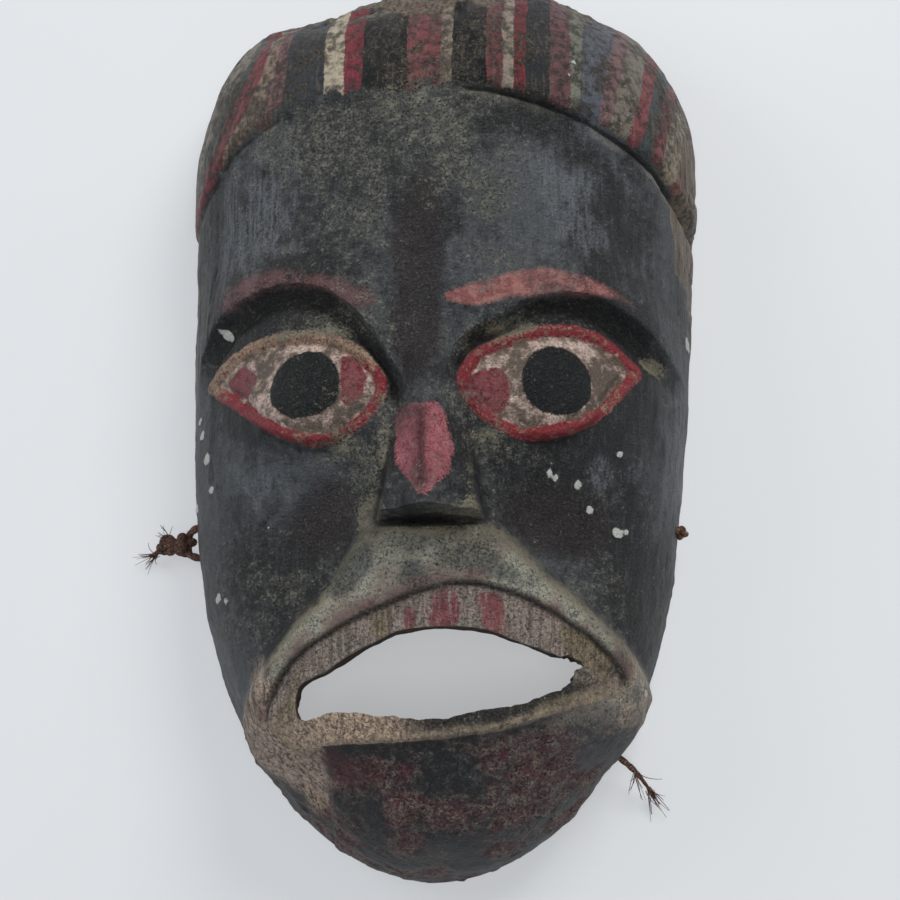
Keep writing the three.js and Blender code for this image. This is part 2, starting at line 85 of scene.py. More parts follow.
# Sizes of the shell and of its carving, in millimetres: the solids' own
HEIGHT = 296
WIDTH = 168
FACE_DEPTH = 72
WALL = 8
CHIN_LEAN = 3
SECTION_POWER = 2.35
CROWN_OUTLINE_POWER = 2.5
JAW_OUTLINE_POWER = 4.1
JAW_OUTLINE_ROOT = 1.85
CROWN_PROFILE_POWER = 6.5
CHIN_PROFILE_POWER = 3.2
SHOULDER = 0.5
JAW_TAPER = 0.075
BAND_RAISE = 2.8
BROW_RAISE = 3.8
SOCKET_DEPTH = 7
EYE_RIM_RAISE = 4.4
EYE_BULGE = 5.5
NOSE_BRIDGE_RAISE = 6
NOSE_TIP_RAISE = 25
NOSTRIL_RAISE = 14
CHEEK_DEPTH = 8
MUZZLE_RAISE = 7
UPPER_LIP_DROP = 2
LOWER_LIP_RAISE = 2
CHIN_RAISE = 6
STEP = 1.2
EYE_STEP = 1.6
EYEBALL_EDGE = 6
BROW_WIDTH = 24
SOCKET_FLOOR = 24
SOCKET_HEIGHT = 50
MUZZLE_SLOPE = 4
RIM_FADE = 22

HALF_WIDTH = WIDTH / 2
HALF_HEIGHT = HEIGHT / 2

# Places on the face, as (across, up) in shares of half the width and half the height: the solids' own,
# but for the lips' lower edge, which follows the carving a little closer
BAND_EDGE = [
    (-0.92, 0.476), (-0.75, 0.562), (-0.5, 0.611), (-0.186, 0.637), (0.137, 0.647),
    (0.437, 0.61), (0.642, 0.565), (0.83, 0.51), (0.935, 0.448),
]
BROW_EDGE = {
    "left": [
        (-0.92, 0.06), (-0.842, 0.127), (-0.727, 0.174), (-0.561, 0.203), (-0.4, 0.19),
        (-0.286, 0.146), (-0.202, 0.089), (-0.12, 0.01),
    ],
    "right": [
        (0.06, 0.02), (0.15, 0.076), (0.265, 0.111), (0.338, 0.143), (0.43, 0.163),
        (0.575, 0.17), (0.719, 0.136), (0.811, 0.098), (0.9, 0.06),
    ],
}
EYE_OUTLINE = {
    "left": [
        (-0.87, 0.036), (-0.796, 0.078), (-0.664, 0.103), (-0.481, 0.111), (-0.307, 0.086),
        (-0.193, 0.034), (-0.144, -0.028), (-0.211, -0.09), (-0.302, -0.125), (-0.417, -0.141),
        (-0.555, -0.114), (-0.724, -0.043),
    ],
    "right": [
        (0.111, -0.021), (0.155, 0.043), (0.3, 0.087), (0.482, 0.113), (0.626, 0.102),
        (0.717, 0.067), (0.775, 0.036), (0.713, -0.02), (0.62, -0.082), (0.476, -0.128),
        (0.332, -0.132), (0.19, -0.095),
    ],
}
EYEBALL = {"left": (-0.44, -0.014, 0.28, 0.12), "right": (0.475, -0.01, 0.28, 0.12)}
MUZZLE_EDGE = [
    (-0.8, -0.72), (-0.662, -0.621), (-0.502, -0.516), (-0.348, -0.424), (-0.218, -0.328),
    (0, -0.311), (0.227, -0.322), (0.4, -0.399), (0.573, -0.482), (0.727, -0.575), (0.82, -0.65),
]
LIP_OUTLINE = [
    (-0.548, -0.66), (-0.535, -0.625), (-0.462, -0.57), (-0.31, -0.517), (-0.127, -0.472),
    (0.015, -0.444), (0.156, -0.435), (0.295, -0.453), (0.433, -0.49), (0.57, -0.542),
    (0.624, -0.586), (0.628, -0.615), (0.548, -0.637), (0.405, -0.668), (0.225, -0.702),
    (0.007, -0.72), (-0.2, -0.727), (-0.364, -0.73), (-0.43, -0.752), (-0.505, -0.712),
]
MOUTH_OUTLINE = [
    (-0.475, -0.636), (-0.35, -0.599), (-0.201, -0.555), (-0.093, -0.531), (0.049, -0.523),
    (0.188, -0.529), (0.326, -0.551), (0.464, -0.576), (0.544, -0.586), (0.514, -0.616),
    (0.461, -0.641), (0.32, -0.674), (0.18, -0.69), (0.038, -0.707), (-0.104, -0.703),
    (-0.321, -0.689), (-0.47, -0.696),
]
NOSE_MIDDLE, NOSE_TOP, NOSE_TIP, NOSE_TOP_HALF, NOSE_WING_HALF = 0.012, 0.14, -0.303, 0.11, 0.2
CHEEKS = [
    (-0.46, -0.33, 0.24, 0.17, 1),
    (0.5, -0.3, 0.24, 0.16, 1),
    (-0.29, -0.22, 0.13, 0.1, 0.45),
    (0.32, -0.23, 0.13, 0.1, 0.45),
]
CHIN_ACROSS, CHIN_UP, CHIN_WIDE, CHIN_TALL, CHIN_LEFT_EDGE = 0.06, -0.84, 0.48, 0.12, -0.38


def smooth(zero_at, one_at, value):
    """An S-shaped step that is 0 at one value and 1 at the other, whichever of them is greater."""
    t = np.clip((value - zero_at) / (one_at - zero_at), 0, 1)
    return t * t * (3 - 2 * t)


def bump(offset):
    return np.exp(-offset * offset)


def curve_over(points):
    """A smooth height over the width through (across, up) points, going on straight past its ends."""
    x, y = np.array(points, float).T
    before = np.maximum(np.arange(len(x)) - 1, 0)
    after = np.minimum(np.arange(len(x)) + 1, len(x) - 1)
    slope = (y[after] - y[before]) / (x[after] - x[before])

    def height(across):
        i = np.clip(np.searchsorted(x, across, side="right") - 1, 0, len(x) - 2)
        span = x[i + 1] - x[i]
        t = np.clip((across - x[i]) / span, 0, 1)
        middle = (
            (2 * t**3 - 3 * t**2 + 1) * y[i]
            + (t**3 - 2 * t**2 + t) * span * slope[i]
            + (3 * t**2 - 2 * t**3) * y[i + 1]
            + (t**3 - t**2) * span * slope[i + 1]
        )
        left = slope[0] * np.minimum(across - x[0], 0)
        right = slope[-1] * np.maximum(across - x[-1], 0)
        return middle + left + right

    return height


def above(curve, across, up):
    """How far a place lies above a curve, square to it, in millimetres."""
    near = 0.01
    rise = (curve(across + near) - curve(across - near)) / (2 * near)
    return (up - curve(across)) * HALF_HEIGHT / np.hypot(1, rise * HALF_HEIGHT / HALF_WIDTH)


def smooth_curve(points, count, closed=False):
    """Points along the smooth curve through a list of points."""
    points = np.array(points, float)
    spans = len(points) if closed else len(points) - 1
    if closed:
        around = points[np.arange(-1, len(points) + 2) % len(points)]
    else:
        around = np.vstack([2 * points[0] - points[1], points, 2 * points[-1] - points[-2]])
    place = np.linspace(0, spans, count + 1)
    first = np.minimum(place.astype(int), spans - 1)
    t = (place - first)[:, None]
    a, b, c, d = (around[first + k] for k in range(4))
    gap_a, gap_b, gap_c = (
        np.sqrt(np.maximum(np.linalg.norm(q - p, axis=1), 1e-8))[:, None] for p, q in ((a, b), (b, c), (c, d))
    )
    leave = gap_b * ((b - a) / gap_a - (c - a) / (gap_a + gap_b) + (c - b) / gap_b)
    arrive = gap_b * ((c - b) / gap_b - (d - b) / (gap_b + gap_c) + (d - c) / gap_c)
    return b + leave * t + (3 * (c - b) - 2 * leave - arrive) * t**2 + (2 * (b - c) + leave + arrive) * t**3


def outline_of(points, count=180):
    """A smooth closed outline through (across, up) points, in millimetres."""
    return smooth_curve(np.array(points) * (HALF_WIDTH, HALF_HEIGHT), count, closed=True)[:-1]


def inside(outline, x, y):
    """How far places lie inside a closed outline, in millimetres; negative outside."""
    nearest = np.full(x.shape, np.inf)
    within = np.zeros(x.shape, bool)
    for a, b in zip(outline, np.roll(outline, -1, axis=0)):
        along = b - a
        t = np.clip(((x - a[0]) * along[0] + (y - a[1]) * along[1]) / (along @ along), 0, 1)
        nearest = np.minimum(nearest, np.hypot(x - a[0] - t * along[0], y - a[1] - t * along[1]))
        if a[1] != b[1]:
            crossing = a[0] + (y - a[1]) * along[0] / along[1]
            within ^= ((a[1] > y) != (b[1] > y)) & (x < crossing)
    return np.where(within, nearest, -nearest)


def section(y, inset):
    """Half-width, height and middle of the bare shell's section across at y, drawn in by an inset."""
    up = np.clip(y / (HALF_HEIGHT - inset), -1, 1)
    crown = np.maximum(0, (up - SHOULDER) / (1 - SHOULDER))
    jaw = np.maximum(0, (SHOULDER - up) / (1 + SHOULDER))
    crown_share = np.maximum(0, 1 - crown**CROWN_OUTLINE_POWER) ** (1 / CROWN_OUTLINE_POWER)
    jaw_share = np.maximum(0, 1 - jaw**JAW_OUTLINE_POWER) ** (1 / JAW_OUTLINE_ROOT)
    power = np.where(up > 0, CROWN_PROFILE_POWER, CHIN_PROFILE_POWER)
    half = (HALF_WIDTH - inset) * crown_share * jaw_share * (1 - JAW_TAPER * jaw)
    height = (FACE_DEPTH - inset) * np.sqrt(np.maximum(0, 1 - np.abs(up) ** power))
    return half, height, -CHIN_LEAN * smooth(SHOULDER, -SHOULDER, up)


def shell_point(y, angle, inset):
    """Points of the bare shell: angle 0 is the right rim and a half turn the left rim."""
    half, height, middle = section(y, inset)
    across = np.cos(angle)
    x = middle + half * np.sign(across) * np.abs(across) ** (2 / SECTION_POWER)
    z = height * np.maximum(0, np.sin(angle)) ** (2 / SECTION_POWER)
    return np.stack(np.broadcast_arrays(x, y + 0 * x, z), axis=-1)


def side_at(side, y, z, inset):
    """The x of the bare shell's side at y and z."""
    half, height, middle = section(y, inset)
    return middle + side * half * max(0, 1 - (z / height) ** SECTION_POWER) ** (1 / SECTION_POWER)


band_edge = curve_over(BAND_EDGE)
brow_edge = {side: curve_over(points) for side, points in BROW_EDGE.items()}
muzzle_edge = curve_over(MUZZLE_EDGE)
eye_outline = {side: outline_of(points) for side, points in EYE_OUTLINE.items()}
lip_outline = outline_of(LIP_OUTLINE)
mouth_outline = outline_of(MOUTH_OUTLINE)


def band_relief(across, up):
    worn_middle = 1 - 0.6 * bump((across + 0.2) / 0.3)
    worn_end = 1 - 0.6 * smooth(-0.75, -0.97, across)
    return BAND_RAISE * worn_middle * worn_end * smooth(-STEP, STEP, above(band_edge, across, up))


def brow_span(across, side):
    lengthwise = -across if side == "left" else across
    return smooth(0.02, 0.16, lengthwise) * smooth(0.97, 0.78, lengthwise)


def brow_relief(across, up, side):
    height = above(brow_edge[side], across, up)
    ridge = smooth(-STEP, STEP, height) * smooth(BROW_WIDTH, STEP, height)
    return BROW_RAISE * brow_span(across, side) * ridge


def socket_relief(across, up, side):
    drop = -above(brow_edge[side], across, up)
    floor = smooth(-STEP, STEP, drop) * smooth(SOCKET_HEIGHT, SOCKET_FLOOR, drop)
    return -SOCKET_DEPTH * brow_span(across, side) * floor


def eye_relief(across, up, side):
    depth = inside(eye_outline[side], across * HALF_WIDTH, up * HALF_HEIGHT)
    ball_across, ball_up, wide, tall = EYEBALL[side]
    round_ball = bump((across - ball_across) / wide) * bump((up - ball_up) / tall)
    rim = EYE_RIM_RAISE * smooth(-EYE_STEP, EYE_STEP, depth)
    return rim + EYE_BULGE * round_ball * smooth(-1, EYEBALL_EDGE, depth)


def nose_relief(across, up):
    run = np.clip((NOSE_TOP - up) / (NOSE_TOP - NOSE_TIP), 0, 1)
    half = NOSE_TOP_HALF + (NOSE_WING_HALF - NOSE_TOP_HALF) * run**2
    offset = np.abs(across - NOSE_MIDDLE) / half
    crest = NOSE_BRIDGE_RAISE * smooth(0, 0.3, run) + (NOSE_TIP_RAISE - NOSE_BRIDGE_RAISE) * run**1.7
    ridge = crest * np.maximum(0, 1 - offset**1.3)
    wings = NOSTRIL_RAISE * smooth(0.5, 0.95, run) * smooth(1.05, 0.75, offset)
    underside = smooth(-STEP, STEP, (up - NOSE_TIP) * HALF_HEIGHT)
    return np.where(up >= NOSE_TOP, 0, np.maximum(ridge, wings) * underside)


def cheek_relief(across, up):
    return sum(
        -CHEEK_DEPTH * deep * bump((across - x) / wide) * bump((up - y) / tall)
        for x, y, wide, tall, deep in CHEEKS
    )


def muzzle_relief(across, up):
    below = -above(muzzle_edge, across, up)
    ends = smooth(0.82, 0.62, np.abs(across - 0.03)) * smooth(-0.82, -0.66, up)
    return MUZZLE_RAISE * smooth(-MUZZLE_SLOPE, MUZZLE_SLOPE, below) * ends


def lip_relief(across, up):
    lower = smooth(-0.62, -0.68, up)
    height = LOWER_LIP_RAISE * lower - UPPER_LIP_DROP * (1 - lower)
    return height * smooth(-STEP, STEP, inside(lip_outline, across * HALF_WIDTH, up * HALF_HEIGHT))


def chin_relief(across, up):
    wide = bump((across - CHIN_ACROSS) / CHIN_WIDE) * smooth(-0.03, 0.03, across - CHIN_LEFT_EDGE)
    return CHIN_RAISE * wide * bump((up - CHIN_UP) / CHIN_TALL)


def by_side(function, across, up):
    return np.where(across < NOSE_MIDDLE, function(across, up, "left"), function(across, up, "right"))


def carving(across, up):
    """Everything that is carved in the solids."""
    eyes = sum(by_side(relief, across, up) for relief in (brow_relief, socket_relief, eye_relief))
    return (
        np.maximum(nose_relief(across, up), eyes)
        + band_relief(across, up)
        + cheek_relief(across, up)
        + muzzle_relief(across, up)
        + lip_relief(across, up)
        + chin_relief(across, up)
    )


def broad_forms(across, up):
    """The broad forms alone, which the hollow follows."""
    return (
        0.7 * by_side(socket_relief, across, up)
        + cheek_relief(across, up)
        + muzzle_relief(across, up)
        + chin_relief(across, up)
    )


def spread(points, weights, count):
    """Places from 0 to 1 along a line of points, evenly spread once each stretch is weighed."""
    steps = np.linalg.norm(np.diff(points, axis=0), axis=1) * (weights[1:] + weights[:-1]) / 2
    along = np.concatenate([[0], np.cumsum(steps)])
    return np.interp(np.linspace(0, along[-1], count + 1), along, np.linspace(0, 1, len(along)))


def grid_of(inset, rows, columns, fineness):
    """The rows' y from chin to crown and the columns' angles, closer over the carved face and at the rim."""
    samples = np.linspace(0, 1, 1601)
    reach = HALF_HEIGHT - inset
    y = -reach * np.cos(np.pi * samples)
    profile = np.stack([y, section(y, inset)[1]], axis=1)
    girth = shell_point(np.zeros_like(samples), np.pi * samples, inset)
    over_face = 1 + fineness * smooth(-0.92, -0.8, y / reach) * smooth(0.4, 0.25, y / reach)
    over_front = 1 + fineness * smooth(0.9, 0.7, np.abs(girth[:, 0]) / HALF_WIDTH)
    at_rim = 3 * smooth(4, 1, girth[:, 2])
    ys = -reach * np.cos(np.pi * spread(profile, over_face, rows))
    angles = np.pi * spread(girth, over_front + at_rim, columns)
    return ys[:, None], angles[None, :]


def displaced(bare, heights):
    """A grid of points moved along the surface's own normals."""
    upward = np.zeros_like(bare)
    upward[1:-1] = bare[2:] - bare[:-2]
    sideways = np.zeros_like(bare)
    sideways[:, 1:-1] = bare[:, 2:] - bare[:, :-2]
    sideways[:, 0] = bare[:, 1] - bare[:, 0]
    sideways[:, -1] = bare[:, -1] - bare[:, -2]
    normal = np.cross(upward, sideways)
    normal /= np.maximum(np.linalg.norm(normal, axis=-1, keepdims=True), 1e-9)
    moved = bare.copy()
    moved[1:-1] += (normal * heights[..., None])[1:-1]
    return moved


# The ties, in millimetres: their sizes and routes are the solids' own. A knot's reach is a share of its
# radius, and the holes' places up the face are shares of half the height.
CORD_DIAMETER = 2.6
TIE_HOLE_HEIGHT = 10
HOLE_CLEARANCE = 0.6
LEFT_HOLE_SPACING = 10
KNOT_DIAMETER = 7.4
STOP_KNOT_DIAMETER = 5
KNOT_STANDOFF = 2.3
KNOT_REACH = 1.12
TAIL_LENGTH = 14
FACE_GAP = 0.3
CORD_RADIUS = CORD_DIAMETER / 2
LEFT_UP, RIGHT_UP, LOW_UP = -0.26, -0.255, -0.735

# What the ties' looks add: ends drawn into a knot, fuller knots, twisted plies, tapered and frayed ends
DRAWN_IN = 1.6
FULLER_KNOT = 1.18
LINE_STEP = 0.5
CORD_SIDES = 14
KNOT_SIDES = 12
FIBRE_SIDES = 5
CORD_PLIES = 2
PLY_PITCH = 7.0
KNOT_PLY_PITCH = 5
PLY_GROOVE = 0.22
KNOT_TURNS = 90
KNOT_STRAND = 0.19
THIN_TIP, MIDDLE_GAIN, FULL_GAIN = 0.32, 0.5, 0.18
THIN_RUN, FULL_RUN = (0, 16), (22, 34)
FIBRE_RADIUS = 0.16
FIBRE_POINTS = 7
STUB_POINTS, STUB_TAPER = 12, (0.9, 0.6)
LEFT_LINE_POINTS, RIGHT_LINE_POINTS = 240, 400


class Passage:
    """A tie's way through the wall at a share of the height."""

    def __init__(self, side, up):
        y = up * HALF_HEIGHT
        lean = side_at(side, y + 1, TIE_HOLE_HEIGHT, 0) - side_at(side, y - 1, TIE_HOLE_HEIGHT, 0)
        out = np.array([2.0 * side, -side * lean, 0])
        self.out = out / np.linalg.norm(out)
        self.mouth = np.array([side_at(side, y, TIE_HOLE_HEIGHT, 0), y, TIE_HOLE_HEIGHT])

    def beyond(self, distance):
        return self.mouth + self.out * distance

    def within(self, distance):
        return self.beyond(-WALL - distance)


half_spacing = LEFT_HOLE_SPACING / HEIGHT
left_top = Passage(-1, LEFT_UP + half_spacing)
left_low = Passage(-1, LEFT_UP - half_spacing)
right_hole = Passage(1, RIGHT_UP)
low_hole = Passage(1, LOW_UP)
knot_reach = KNOT_DIAMETER / 2 * KNOT_REACH


def left_knot_middles():
    wall = side_at(-1, LEFT_UP * HALF_HEIGHT, TIE_HOLE_HEIGHT, 0)
    lowest = knot_reach + FACE_GAP
    beside = wall - KNOT_STANDOFF - KNOT_DIAMETER / 2
    first = np.array([beside, LEFT_UP * HALF_HEIGHT, (lowest + TIE_HOLE_HEIGHT) / 2])
    second = np.array([first[0] - 0.84 * KNOT_DIAMETER, first[1] + 0.4, lowest])
    return first, second


def left_cord_route():
    away = knot_reach + FACE_GAP
    knot = left_knot_middles()[0]
    turn = LEFT_HOLE_SPACING / 2

    def meet(sign):
        return knot + np.array([0.5, 0.86 * sign, 0.25]) * away

    def bend(hole, other):
        return 0.85 * hole.within(1 + turn * 0.7) + 0.15 * other.within(1 + turn * 0.7)

    return [
        meet(1),
        left_top.beyond(1),
        left_top.beyond(0),
        left_top.within(0),
        left_top.within(1),
        bend(left_top, left_low),
        (left_top.within(1 + turn) + left_low.within(1 + turn)) / 2,
        bend(left_low, left_top),
        left_low.within(1),
        left_low.within(0),
        left_low.beyond(0),
        left_low.beyond(1),
        meet(-1),
    ]


def right_cord_route():
    foot = CORD_RADIUS + FACE_GAP

    def beside_wall(up, z):
        y = up * HALF_HEIGHT
        return np.array([side_at(1, y, z, WALL) - CORD_DIAMETER * 1.9, y, z])

    def tail(share, z):
        x, y, _ = low_hole.beyond(1 + TAIL_LENGTH * share)
        return np.array([x, y - 0.4 * TAIL_LENGTH * share * share, z])

    return [
        right_hole.beyond(0),
        right_hole.within(0),
        right_hole.within(1.5),
        right_hole.within(4.5) + (0, -1.8, -1),
        beside_wall(-0.33, TIE_HOLE_HEIGHT * 0.55),
        beside_wall(-0.39, foot + 1),
        beside_wall(-0.46, foot),
        beside_wall(-0.54, foot),
        beside_wall(-0.61, foot + 1),
        low_hole.within(8) + (1, 7, -3),
        low_hole.within(3),
        low_hole.within(0),
        low_hole.beyond(0),
        low_hole.beyond(1.5),
        tail(0.45, TIE_HOLE_HEIGHT * 0.85),
        tail(0.75, TIE_HOLE_HEIGHT * 0.55),
        tail(1, TIE_HOLE_HEIGHT * 0.3),
    ]


def mesh_object(name, points, faces):
    """An object from points in millimetres and faces."""
    if isinstance(faces, np.ndarray):
        faces = faces.tolist()
    mesh = bpy.data.meshes.new(name)
    mesh.from_pydata((np.asarray(points) * MM).tolist(), [], faces)
    mesh.validate()
    made = bpy.data.objects.new(name, mesh)
    bpy.context.scene.collection.objects.link(made)
    return made


def evenly(points, step):
    """A line of points resampled at even steps."""
    along = np.concatenate([[0], np.cumsum(np.linalg.norm(np.diff(points, axis=0), axis=1))])
    count = max(2, round(along[-1] / step))
    places = np.linspace(0, along[-1], count + 1)
    return np.stack([np.interp(places, along, points[:, axis]) for axis in range(3)], axis=1)


def tube(path, radii, sides, plies=0, pitch=PLY_PITCH, phase=0.0):
    """A tube round a line of points, closed at both ends, whose section can be that of twisted plies."""
    path = np.asarray(path, float)
    radii = np.broadcast_to(radii, len(path))
    ahead = np.gradient(path, axis=0)
    ahead /= np.linalg.norm(ahead, axis=1, keepdims=True)
    side = np.cross(ahead[0], (0, 0, 1) if abs(ahead[0, 2]) < 0.9 else (1, 0, 0))
    along = np.concatenate([[0], np.cumsum(np.linalg.norm(np.diff(path, axis=0), axis=1))])
    angles = np.linspace(0, 2 * math.pi, sides, endpoint=False)
    points = []
    for place, direction, radius, distance in zip(path, ahead, radii, along):
        side = side - direction * (side @ direction)
        side = side / np.linalg.norm(side)
        other = np.cross(direction, side)
        twist = 2 * math.pi * distance / pitch + phase
        lobes = np.abs(np.cos(plies * (angles - twist) / 2))
        swell = 1 - PLY_GROOVE * (1 - lobes) if plies else np.ones(sides)
        ring = np.outer(np.cos(angles), side) + np.outer(np.sin(angles), other)
        points.append(place + ring * (radius * swell)[:, None])
    points = np.concatenate(points)
    faces = []
    for r in range(len(path) - 1):
        for c in range(sides):
            d = (c + 1) % sides
            faces.append((r * sides + c, r * sides + d, (r + 1) * sides + d, (r + 1) * sides + c))
    faces.append(tuple(range(sides))[::-1])
    faces.append(tuple(range((len(path) - 1) * sides, len(path) * sides)))
    return points, faces


def joined(name, parts):
    """One object from several (points, faces) parts."""
    points, faces, start = [], [], 0
    for part_points, part_faces in parts:
        points.append(part_points)
        faces += [tuple(i + start for i in face) for face in part_faces]
        start += len(part_points)
    made = mesh_object(name, np.concatenate(points), faces)
    made.data.shade_smooth()
    return made


def knot_strand(middle, diameter, seed):
    """A strand pulled into a tight overhand knot."""
    random = np.random.default_rng(seed)
    t = np.linspace(0, 2 * math.pi, KNOT_TURNS)
    across, up = np.sin(t) + 2 * np.sin(2 * t), np.cos(t) - 2 * np.cos(2 * t)
    loop = np.stack([across, up, -1.5 * np.sin(3 * t)], axis=1)
    turn = np.linalg.qr(random.normal(size=(3, 3)))[0]
    strand = KNOT_STRAND * diameter
    loop = loop @ turn * ((diameter / 2 - strand) / 3)
    return tube(middle + loop, strand, KNOT_SIDES, CORD_PLIES, KNOT_PLY_PITCH, phase=seed)


def frayed(start, direction, count, length, spread_angle, droop, seed):
    """Loose fibres that fan out from a frayed end and droop."""
    random = np.random.default_rng(seed)
    direction = np.asarray(direction, float) / np.linalg.norm(direction)
    parts = []
    for _ in range(count):
        heading = direction + random.normal(scale=spread_angle, size=3)
        heading /= np.linalg.norm(heading)
        curl = random.normal(scale=0.35, size=3)
        reach = length * random.uniform(0.45, 1)
        t = np.linspace(0, 1, FIBRE_POINTS)[:, None]
        path = start + random.normal(scale=0.45, size=3) + heading * reach * t + curl * reach * t**2 * 0.6
        path[:, 2] -= droop * (t[:, 0] ** 2) * reach
        path[:, 2] = np.maximum(path[:, 2], FACE_GAP + 0.1)
        parts.append(tube(path, FIBRE_RADIUS * (1 - 0.6 * t[:, 0]) * random.uniform(0.7, 1.3), FIBRE_SIDES))
    return parts


def left_cord_line():
    """The left tie's middle line, with both ends drawn a little way into the first knot."""
    line = evenly(smooth_curve(left_cord_route(), LEFT_LINE_POINTS), LINE_STEP)
    knot = left_knot_middles()[0]
    starts, ends = (end + (knot - end) * DRAWN_IN / np.linalg.norm(knot - end) for end in (line[0], line[-1]))
    return np.concatenate([[starts], line, [ends]])


def right_cord_line():
    return evenly(smooth_curve(right_cord_route(), RIGHT_LINE_POINTS), LINE_STEP)


def make_cords():
    """Both ties with their knots and frayed ends."""
    left_path, right_path = left_cord_line(), right_cord_line()
    left = joined("left_tie", [tube(left_path, CORD_RADIUS, CORD_SIDES, CORD_PLIES)])
    remaining = np.linspace(len(right_path) * LINE_STEP, 0, len(right_path))
    share = THIN_TIP + MIDDLE_GAIN * smooth(*THIN_RUN, remaining) + FULL_GAIN * smooth(*FULL_RUN, remaining)
    right = joined("right_tie", [tube(right_path, CORD_RADIUS * share, CORD_SIDES, CORD_PLIES)])
    first, second = left_knot_middles()
    end = second + np.array([-0.75, -0.45, -0.13]) * KNOT_DIAMETER
    stub_radii = CORD_RADIUS * np.linspace(*STUB_TAPER, STUB_POINTS)
    stub = tube(np.linspace(second, end, STUB_POINTS), stub_radii, KNOT_SIDES, CORD_PLIES)
    full = KNOT_DIAMETER * FULLER_KNOT
    left_knot = joined("left_knots", [knot_strand(first, full, 3), knot_strand(second, full, 8), stub])
    left_fray = joined(
        "left_frayed_end",
        frayed(end + (1.5, 0.4, 0), end - second + (0, 0, 1.0), 26, 6.5, 0.42, 0.25, 11)
        + frayed(second + (0, 2.2, 1), (-0.5, 0.7, 0.4), 7, 5, 0.5, 0.3, 12),
    )
    stop_middle = right_hole.beyond(STOP_KNOT_DIAMETER / 2 * 0.72)
    right_knot = joined("right_stop_knot", [knot_strand(stop_middle, STOP_KNOT_DIAMETER, 5)])
    tip, before = right_path[-1], right_path[-16]
    right_fray = joined(
        "right_frayed_end",
        frayed(tip - (tip - before) * 0.5, tip - before, 24, 9.5, 0.26, 0.05, 21)
        + frayed(right_path[-24], (0.1, -1, -0.3), 12, 10, 0.22, 0.15, 22),
    )
    return left, right, left_knot, right_knot, left_fray, right_fray


def noise(points, size, seed):
    """Smooth noise from -1 to 1, with lumps of one size in millimetres or of one size along each axis."""
    place = points / np.array(size, float)
    cell = np.floor(place).astype(np.int64)
    t = place - cell
    t = t * t * (3 - 2 * t)
    table = np.random.default_rng(seed).uniform(-1, 1, 65536)
    total = np.zeros(points.shape[:-1])
    for corner in itertools.product((0, 1), repeat=3):
        spot = cell + np.array(corner)
        key = (spot[..., 0] * 73856093) ^ (spot[..., 1] * 19349663) ^ (spot[..., 2] * 83492791)
        total += np.prod(np.where(corner, t, 1 - t), axis=-1) * table[key & 65535]
    return total


def crumble(points, size, seed):
    """Noise of several sizes together."""
    size = np.array(size, float)
    half = noise(points, size / 2.1, seed + 1)
    quarter = noise(points, size / 4.3, seed + 2)
    return noise(points, size, seed) + 0.5 * half + 0.25 * quarter


# Painted places, in millimetres across and up the face
RED_BROW = [
    (5.5, 24.5), (11, 27), (20, 30), (29.5, 33), (38.5, 33.5), (47, 32), (55.5, 28.5), (62.5, 24),
    (57, 26), (51, 26), (46, 26), (38.5, 25.5), (30.5, 24), (23.5, 23.5), (16.5, 21), (7.5, 23),
]
DULL_BROW = [
    (-65.5, 34.5), (-59, 35.5), (-51, 36), (-43.5, 35.5), (-35.5, 34), (-27.5, 30), (-16.5, 23),
    (-25, 23), (-33.5, 26.5), (-42, 28.5), (-50.5, 29), (-57, 28.5), (-64.5, 27),
]
NOSE_RED = [
    (-9, -12), (-6, -10.5), (-3, -10.5), (0, -11.5), (2.5, -11), (5, -12.5), (6.5, -17.5), (8, -22.5),
    (8, -27.5), (6.5, -33.5), (4.5, -37.5), (1, -41), (-3.5, -37), (-6.5, -32), (-9, -25), (-9.5, -17.5),
]
RIGHT_EYE_PATCH = [
    (11.5, -4), (13.5, -0.5), (17, 1.5), (22.5, 1), (25, -2), (25.5, -6), (24.5, -9.5), (21.5, -12.5),
    (15.5, -10), (12, -6.5),
]
LEFT_EYE_PATCHES = [
    [(-65.5, 4), (-62.5, 7), (-59, 8), (-56, 6), (-53.5, 2.5), (-55, -0.5), (-58, -2), (-62, -1)],
    [(-26, 7), (-22, 6), (-19.5, 2), (-19, -3), (-21, -8), (-25.5, -9), (-26.5, -3), (-26.5, 2)],
]
LIP_REDS = [
    [(1.5, -67), (8.5, -67), (8, -77), (1.5, -77)],
    [(15, -67.5), (20.5, -68), (21.5, -79), (16, -77)],
    [(-7, -72), (-4, -71), (-3.5, -76), (-6, -77)],
]
CHIN_RED = [
    (-31, -108), (-27.5, -107.5), (-24.5, -110.5), (-18, -114), (-16, -118), (-22, -120), (-28.5, -117),
    (-33, -113),
]
PUPILS = [(-37, -2, 10.5, 11), (38.5, -2, 10, 11)]
DROPS = [
    (-66.5, 20.5, 1.9), (39.5, -26, 1.3), (39, -29, 1.8), (41, -30.5, 1.2), (48, -32, 1.5),
    (59, -21.5, 0.9), (52, -39.5, 1), (59, -45.5, 1.5), (61.5, -44.5, 0.9), (-75.5, -8.5, 1.4),
    (-73.5, -17.5, 1.8), (-71.5, -28, 1.5), (-68.5, -62.5, 1.1), (-66, -63.5, 0.8), (58, -90, 1),
    (80, 23, 1.6), (-53, -43.5, 0.6), (43.5, 99, 1.3), (45, 103.5, 0.9), (-79.5, -30, 1.5),
    (-77, -3, 1),
]
WORM_HOLES = [
    (82, 74, 1.5), (81, 68, 1.1), (81, 64, 1.3), (81.5, 60, 0.9), (80.5, 70.5, 0.8), (82.5, 47, 0.9),
]
